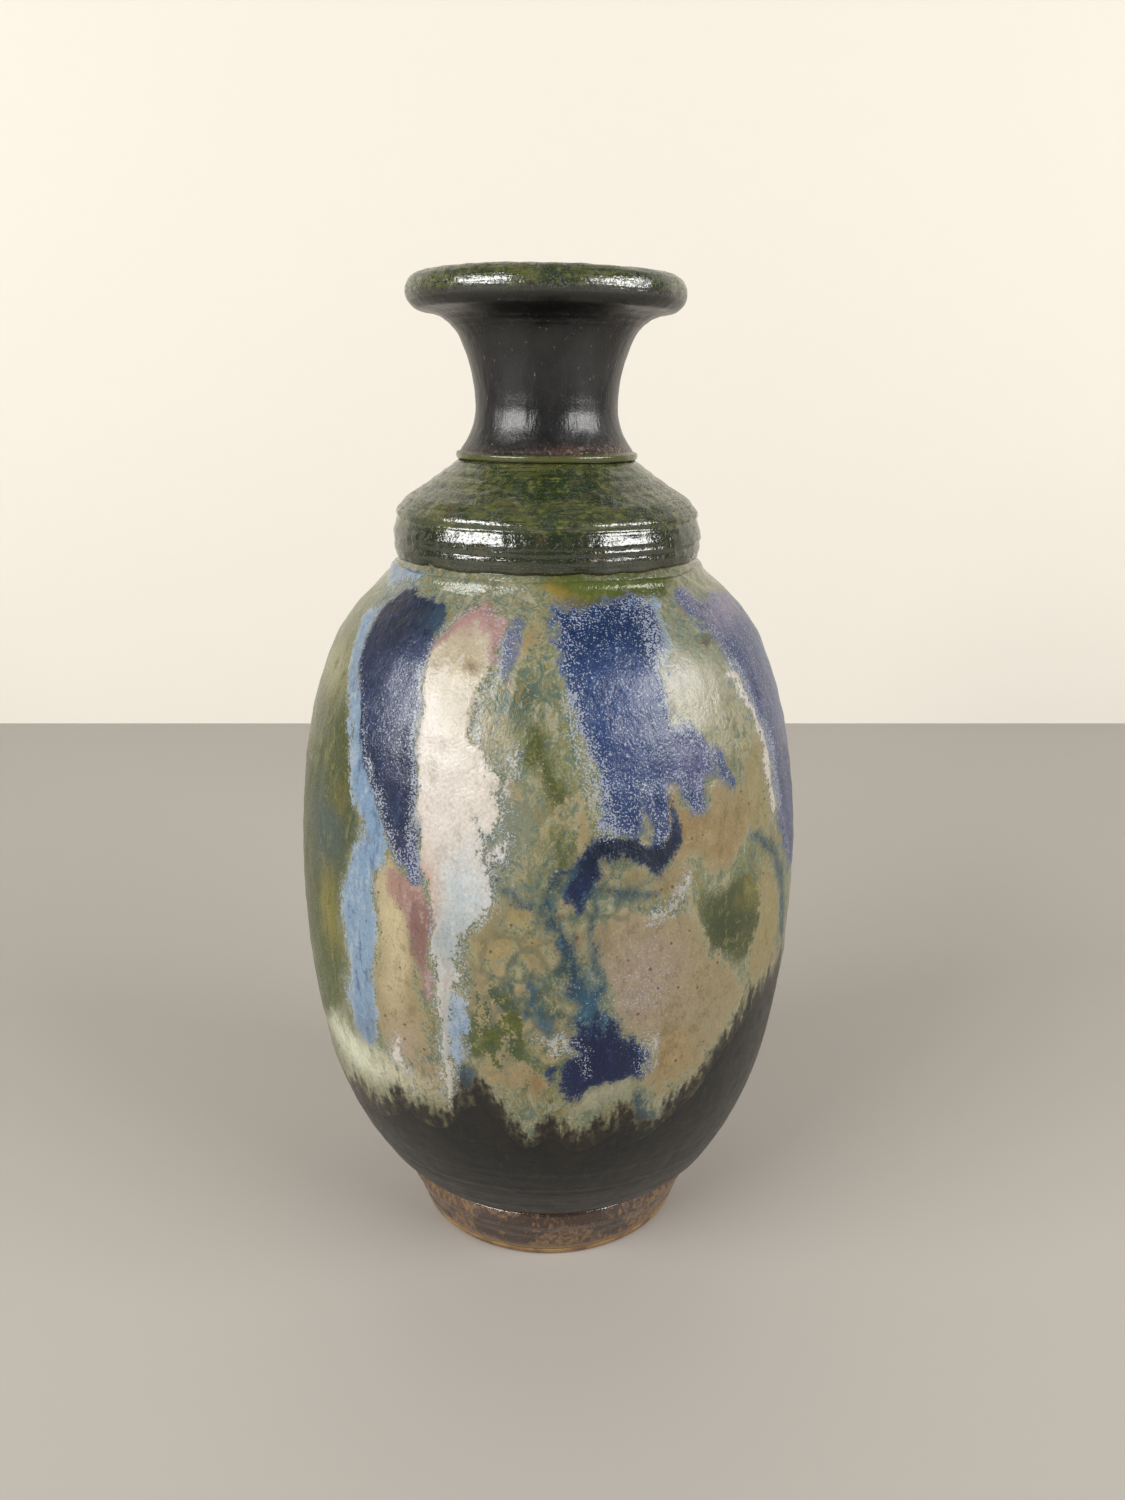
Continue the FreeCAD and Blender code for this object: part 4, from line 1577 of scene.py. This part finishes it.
@dataclass
class BodyGlazes:
    """The black base coat, and the running glazes poured over it."""

    columns: int = 560
    rows: int = 140
    fine_rows: int = 24
    fine_from: float = 0.945
    base_rows: int = 96
    bottom: float = 13.2
    top: float = 147.15
    base_top: float = 74.0
    overlap: float = 6.0
    smoothed: int = 9
    ring_pitch: float = 5.0
    turned_lines: tuple[Place, ...] = ((25.6, 0.16), (18.6, 0.2), (22.3, 0.06), (31.0, 0.05))
    fillet_height: float = 145.25
    fillet: float = 0.55
    ground: Hex = "#8d8f6e"
    tucked: float = 0.25
    buried: float = 0.12
    run_line: RunLine = RunLine()
    black: BlackGlaze = BlackGlaze()
    running: RunningGlaze = RunningGlaze()

    def build(self) -> None:
        """Make both coats."""
        line = LINES.belly(0.3)
        turns = np.arange(self.columns) * 360.0 / self.columns
        ends = self.run_line.heights(turns)
        half = self.smoothed // 2
        around = np.concatenate([ends[-half:], ends, ends[:half]])
        cut = np.convolve(around, np.ones(self.smoothed) / self.smoothed, "valid") - self.overlap
        self.build_base(line, cut)
        self.build_running(line, cut, ends)

    def throwing_marks(self, surface: Surface) -> np.ndarray:
        """Soft rings and unevenness left by the potter's fingers."""
        spiral = surface.height + surface.angle / 360.0 * self.ring_pitch
        spiral += 0.8 * Ripples(6, 60.0).at(surface)
        rings = np.sin(spiral * 2.0 * np.pi / self.ring_pitch)
        rings *= 0.035 * smooth_step(30.0, 75.0, surface.height)
        return rings + 0.16 * Ripples(5, 38.0, 1.5).at(surface)

    def build_base(self, line: np.ndarray, cut: np.ndarray) -> None:
        """Black coat from the foot up to under the running glazes.

        Args:
            line: the belly's line.
            cut: height at which the running glazes start, in each column.
        """
        low = np.full(self.columns, self.bottom)
        surface = Surface.between(line, low, self.base_top, np.linspace(0.0, 1.0, self.base_rows))
        relief = self.throwing_marks(surface)
        waver = 0.25 * Ripples(7, 40.0).at(surface)
        for height, depth in self.turned_lines:
            relief -= depth * bump_at(surface.height + waver, height, 0.28)
            relief += 0.6 * depth * bump_at(surface.height + waver, height + 0.8, 0.45)
        relief += 0.12 * surface.level(14.2, 1.0) + 0.02 * Ripples(8, 3.0).at(surface)
        relief -= self.tucked * smooth_step(1.2, 3.4, surface.height - cut[None, :])
        shell = TurnedShell("body_black_coat", surface, relief, thickness=0.45)
        finish_piece(shell.build(), self.black.material(), "black_glaze", "base_black_glaze")

    def build_running(self, line: np.ndarray, cut: np.ndarray, ends: np.ndarray) -> None:
        """Running glazes from the collar down over the black.

        Args:
            line: the belly's line.
            cut: height at which the coat's own edge lies, in each column.
            ends: height at which its colour gives way to black.
        """
        parts = np.concatenate([np.linspace(0.0, self.fine_from, self.rows, endpoint=False),
                                np.linspace(self.fine_from, 1.0, self.fine_rows)])
        surface = Surface.between(line, cut, self.top, parts)
        coats = poured_coats()
        front = folded(surface)
        poured = stirred(surface)
        inside = {glaze: coat.distance(poured) for glaze, coat in coats.items()}
        above = surface.height - ends[None, :]
        marks = self.throwing_marks(surface)
        relief = marks + 0.05 * Ripples(9, 4.0, 2.0).at(surface) * smooth_step(-2.0, 3.0, above)
        for glaze, coat in coats.items():
            edge = inside[glaze]
            relief += coat.stands * (smooth_step(-0.5, 0.7, edge) + 0.5 * bump_at(edge, 0.9, 0.8))
        relief += 0.14 * bump_at(above, 2.0, 3.0)
        waver = 0.25 * Ripples(10, 26.0).at(surface)
        relief += self.fillet * bump_at(surface.height + waver, self.fillet_height, 0.62)
        over_cut = surface.height - cut[None, :]
        risen = smooth_step(0.0, 2.4, over_cut)
        relief = (relief + 0.02) * risen + marks * (1.0 - risen)
        relief -= self.buried * (1.0 - smooth_step(0.0, 1.6, over_cut))
        iron = smooth_step(-1.5, 0.5, inside[Glaze.TAN])
        iron *= 1.0 - smooth_step(-0.5, 0.5, inside[Glaze.NAVY])
        traits = {"above": above, "crystal": self.crystal(front, inside), "iron": iron * 0.9 + 0.1,
                  "wet": self.wetness(surface, inside), "stir": 1.0 - 0.75 * tallest(front, CALM),
                  "cells": tallest(front, DROPS),
                  "tone_ground": washed(self.ground, ground_washes(), poured)}
        for glaze, coat in coats.items():
            traits[f"in_{glaze.value}"] = inside[glaze]
            traits[f"tone_{glaze.value}"] = washed(coat.colour, coat.washes, poured)
        shell = TurnedShell("body_running_coat", surface, relief, thickness=0.2, back_step=24,
                            traits=traits)
        finish_piece(shell.build(), self.running.material(self.black), "running_glaze",
                     "body_running_glaze")

    def crystal(self, surface: Surface, inside: dict[Glaze, np.ndarray]) -> np.ndarray:
        """How thickly white crystals lie, from 0 to 1."""
        royal = smooth_step(-0.8, 1.2, inside[Glaze.ROYAL])
        royal *= 0.55 + 0.45 * smooth_step(4.0, 1.0, inside[Glaze.ROYAL])
        lower = smooth_step(122.0, 106.0, surface.height)
        navy = smooth_step(-0.6, 0.5, inside[Glaze.NAVY])
        navy *= smooth_step(4.2, 0.5, inside[Glaze.NAVY])
        navy *= np.where(np.abs(turned_from(surface.angle, -38.0)) < 20.0, lower, 0.1)
        # White crystals round (-35, 123): partly the glaze's own, partly a painted highlight of the
        # left lamp's soft sheen.
        crystals_and_sheen = surface.spot(-35.0, 123.0, 6.0, 10.0)
        edges = 0.75 * bump_at(inside[Glaze.CREAM], -0.7, 1.1)
        edges += 0.6 * bump_at(inside[Glaze.ICE], 0.2, 0.9)
        edges += 0.95 * smooth_step(-1.6, 0.4, CRYSTAL_MARGIN.distance(surface))
        beige = 0.5 * surface.spot(19.0, 75.0, 8.0, 10.0)
        return np.clip(royal * 0.72 + navy + 0.6 * crystals_and_sheen + edges + beige, 0.0, 1.0)

    def wetness(self, surface: Surface, inside: dict[Glaze, np.ndarray]) -> np.ndarray:
        """Where the glaze is glassy, from 0 to 1: green pooled under the collar, and olive runs."""
        pooled = smooth_step(140.5, 143.5, surface.height)
        olive = 0.35 * smooth_step(-0.5, 2.0, inside[Glaze.OLIVE])
        return np.clip(pooled + olive, 0.0, 1.0)


@dataclass
class Collar:
    """Ridged collar with a pooled edge."""

    columns: int = 448
    step_height: float = 160.0
    ridges: tuple[Place, ...] = ((161.0, -0.08), (162.0, 0.07), (162.9, -0.06), (163.6, 0.06),
                                 (164.5, -0.05), (158.6, 0.05))
    nick_angle: float = -47.0
    finish: GreenGlaze = GreenGlaze("collar_green", 147.05, (155.5, 161.5), 155.0)

    def build(self) -> None:
        """Make the collar's coat."""
        surface = Surface.turned(LINES.collar(0.24), self.columns)
        waver = 0.3 * Ripples(21, 30.0).at(surface)
        height = surface.height + waver * 0.6
        right = smooth_step(-1.0, 1.0, np.sin(np.radians(surface.angle + 5.0)))
        band = np.clip((surface.height - 147.6) / 6.0, 0.0, 1.0)
        relief = 0.22 * np.sin(band * 2.0 * np.pi) ** 2
        relief += (0.08 + 0.2 * right) * bump_at(height, 150.9, 0.4)
        relief += 0.10 * bump_at(height, 155.9, 0.6)
        relief -= 0.10 * bump_at(height, 157.4, 0.35)
        relief += 0.34 * surface.side(-14.0, 19.0) * bump_at(height, self.step_height, 0.28)
        for place, depth in self.ridges:
            relief += depth * bump_at(height, place, 0.28)
        relief += 0.035 * Ripples(22, 2.4).at(surface) + 0.05 * Ripples(23, 9.0, 0.5).at(surface)
        edge = smooth_step(148.6, 147.2, surface.height)
        relief += edge * (0.14 * Ripples(24, 7.0).at(surface) + 0.12)
        relief -= 0.1 * smooth_step(165.0, 165.9, surface.height)
        relief -= 0.5 * surface.side(self.nick_angle, 2.2) * edge
        shell = TurnedShell("collar_coat", surface, relief)
        finish_piece(shell.build(), self.finish.material(), "green_glaze", "collar_green_glaze")


@dataclass
class Neck:
    """Neck with a bead at its foot and fine lines under the lip."""

    columns: int = 320
    ring_pitch: float = 3.2
    fine_lines: tuple[float, ...] = (190.6, 191.7, 192.7, 193.6)
    bead_height: float = 167.1
    finish: NeckGlaze = NeckGlaze()

    def build(self) -> None:
        """Make the neck's coat."""
        surface = Surface.turned(LINES.neck(0.2), self.columns)
        spiral = surface.height + surface.angle / 360.0 * self.ring_pitch
        relief = 0.012 * np.sin(spiral * 2.0 * np.pi / self.ring_pitch)
        relief += 0.05 * Ripples(31, 18.0, 2.0).at(surface)
        relief += 0.02 * Ripples(32, 2.0, 3.0).at(surface)
        for height in self.fine_lines:
            relief += 0.06 * surface.level(height, 0.22)
        crust = surface.spot(22.0, 168.4, 40.0, 0.9)
        relief += 0.1 * crust * Ripples(33, 1.6).at(surface)
        relief += 0.22 * surface.level(self.bead_height, 0.3)
        relief -= 0.14 * surface.level(self.bead_height + 0.5, 0.35)
        relief -= 0.3 * smooth_step(195.0, 196.0, surface.height)
        shell = TurnedShell("neck_coat", surface, relief)
        finish_piece(shell.build(), self.finish.material(), "black_glaze", "neck_black_glaze")


@dataclass
class Lip:
    """Rolled lip."""

    columns: int = 448
    lap: float = 12.0
    finish: GreenGlaze = GreenGlaze("lip_green", 190.0, (196.0, 203.0), 190.0, (195.6, 197.0))

    def build(self) -> None:
        """Make the lip's coat."""
        surface = Surface.turned(LINES.roll(0.2, LINES.roll_seam - self.lap, LINES.roll_to),
                                 self.columns)
        relief = 0.09 * Ripples(41, 24.0).at(surface) + 0.04 * Ripples(42, 3.0).at(surface)
        relief += 0.05 * surface.level(198.9, 0.25) - 0.03
        relief *= smooth_step(195.0, 196.2, surface.height)
        for height in (195.6, 196.2):
            relief += 0.04 * surface.level(height, 0.14)
        relief -= 0.12 * smooth_step(195.2, 194.5, surface.height)
        shell = TurnedShell("lip_coat", surface, relief)
        finish_piece(shell.build(), self.finish.material(), "green_glaze", "rim_green_glaze")


@dataclass
class Liner:
    """Glaze inside the pot."""

    columns: int = 192
    finish: LinerGlaze = LinerGlaze()

    def build(self) -> None:
        """Make the liner's coat."""
        surface = Surface.turned(LINES.inside(1.1), self.columns)
        rings = 0.12 * np.sin((surface.height + surface.angle / 60.0) * 2.0 * np.pi / 6.0)
        relief = np.minimum(rings * smooth_step(2.0, 8.0, surface.radius), 0.2)
        shell = TurnedShell("liner_coat", surface, relief, thickness=0.3)
        finish_piece(shell.build(), self.finish.material(), "liner_glaze", "liner_glaze")


# ---------------------------------------------------------------------------------------------
# Studio
# ---------------------------------------------------------------------------------------------

@dataclass(frozen=True)
class Softbox:
    """A soft rectangular lamp that faces the pot.

    Attributes:
        azimuth: degrees round the pot from the camera's side, positive to its right.
        elevation: degrees above the table.
        distance: metres from the pot.
        size: width and height, in metres.
        watts: power.
        colour: tint of the light.
    """

    azimuth: float
    elevation: float
    distance: float
    size: tuple[float, float]
    watts: float
    colour: Colour

    def place(self, name: str) -> None:
        """Add the lamp to the scene."""
        lamp = bpy.data.lights.new(name, "AREA")
        lamp.shape = "RECTANGLE"
        lamp.size, lamp.size_y = self.size
        lamp.energy = self.watts
        lamp.color = self.colour
        made = bpy.data.objects.new(name, lamp)
        turn, rise = math.radians(self.azimuth), math.radians(self.elevation)
        away = np.array([math.sin(turn) * math.cos(rise), -math.cos(turn) * math.cos(rise),
                         math.sin(rise)])
        made.location = tuple(away * self.distance + np.array([0.0, 0.0, 0.1]))
        made.rotation_euler = (math.radians(90.0 - self.elevation), 0.0, turn)
        bpy.context.scene.collection.objects.link(made)


@dataclass
class Studio:
    """Camera, lamps, a grey table and a cream wall."""

    camera_place: Point = (0.0031, -0.2404, 0.1779)
    pitch: float = 16.83
    lens: float = 28.08
    sensor: float = 36.0
    wall_distance: float = 0.40
    reach: float = 2.0
    lamps: tuple[Softbox, ...] = (
        Softbox(-53.0, 24.0, 1.0, (0.78, 0.42), 13.6, (1.0, 0.99, 0.97)),
        Softbox(62.0, 23.0, 1.0, (0.74, 0.40), 11.2, (1.0, 0.99, 0.975)),
    )
    room: Colour = (1.0, 0.985, 0.96)
    room_strength: float = 0.16

    def build(self) -> None:
        """Make the whole studio."""
        bpy.context.scene.view_settings.view_transform = "Standard"
        self.add_camera()
        for number, lamp in enumerate(self.lamps):
            lamp.place(f"softbox_{number + 1}")
        self.add_world()
        self.add_stage()

    def add_camera(self) -> None:
        """Add the camera and make it the scene's."""
        lens = bpy.data.cameras.new("camera")
        lens.sensor_width = self.sensor
        lens.lens = self.lens
        lens.clip_start = 0.01
        made = bpy.data.objects.new("camera", lens)
        made.location = self.camera_place
        made.rotation_euler = (math.radians(90.0 - self.pitch), 0.0, 0.0)
        bpy.context.scene.collection.objects.link(made)
        bpy.context.scene.camera = made

    def add_world(self) -> None:
        """Fill the room with soft warm light."""
        world = bpy.data.worlds.new("room")
        world.use_nodes = True
        glow = world.node_tree.nodes["Background"]
        glow.inputs["Color"].default_value = (*self.room, 1.0)
        glow.inputs["Strength"].default_value = self.room_strength
        bpy.context.scene.world = world

    def add_stage(self) -> None:
        """Add the table top and the wall behind it."""
        far, back = self.reach, self.wall_distance
        table = plane("table", ((-far, -far, 0.0), (far, -far, 0.0), (far, back, 0.0),
                                (-far, back, 0.0)), "#a5a099", 0.55)
        wall = plane("wall", ((-far, back, -0.2), (far, back, -0.2), (far, back, far),
                              (-far, back, far)), "#d5d0c6", 0.85)


def plane(name: str, corners: tuple[Point, ...], colour: Hex, roughness: float) -> bpy.types.Object:
    """A flat four-cornered object in a plain matt colour."""
    mesh = bpy.data.meshes.new(name)
    mesh.from_pydata(corners, [], [(0, 1, 2, 3)])
    made = bpy.data.objects.new(name, mesh)
    bpy.context.scene.collection.objects.link(made)
    material = bpy.data.materials.new(name)
    material.use_nodes = True
    shader = material.node_tree.nodes["Principled BSDF"]
    shader.inputs["Base Color"].default_value = (*paint(colour), 1.0)
    shader.inputs["Roughness"].default_value = roughness
    made.data.materials.append(material)
    return made


def main() -> None:
    """Build the studio and every part of the pot, in order."""
    logging.basicConfig(level=logging.INFO, format="%(name)s: %(message)s")
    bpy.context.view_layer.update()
    Studio().build()
    for part in (ClayCore(), Foot(), BodyGlazes(), Collar(), Neck(), Lip(), Liner()):
        part.build()


if __name__ == "__main__":
    main()
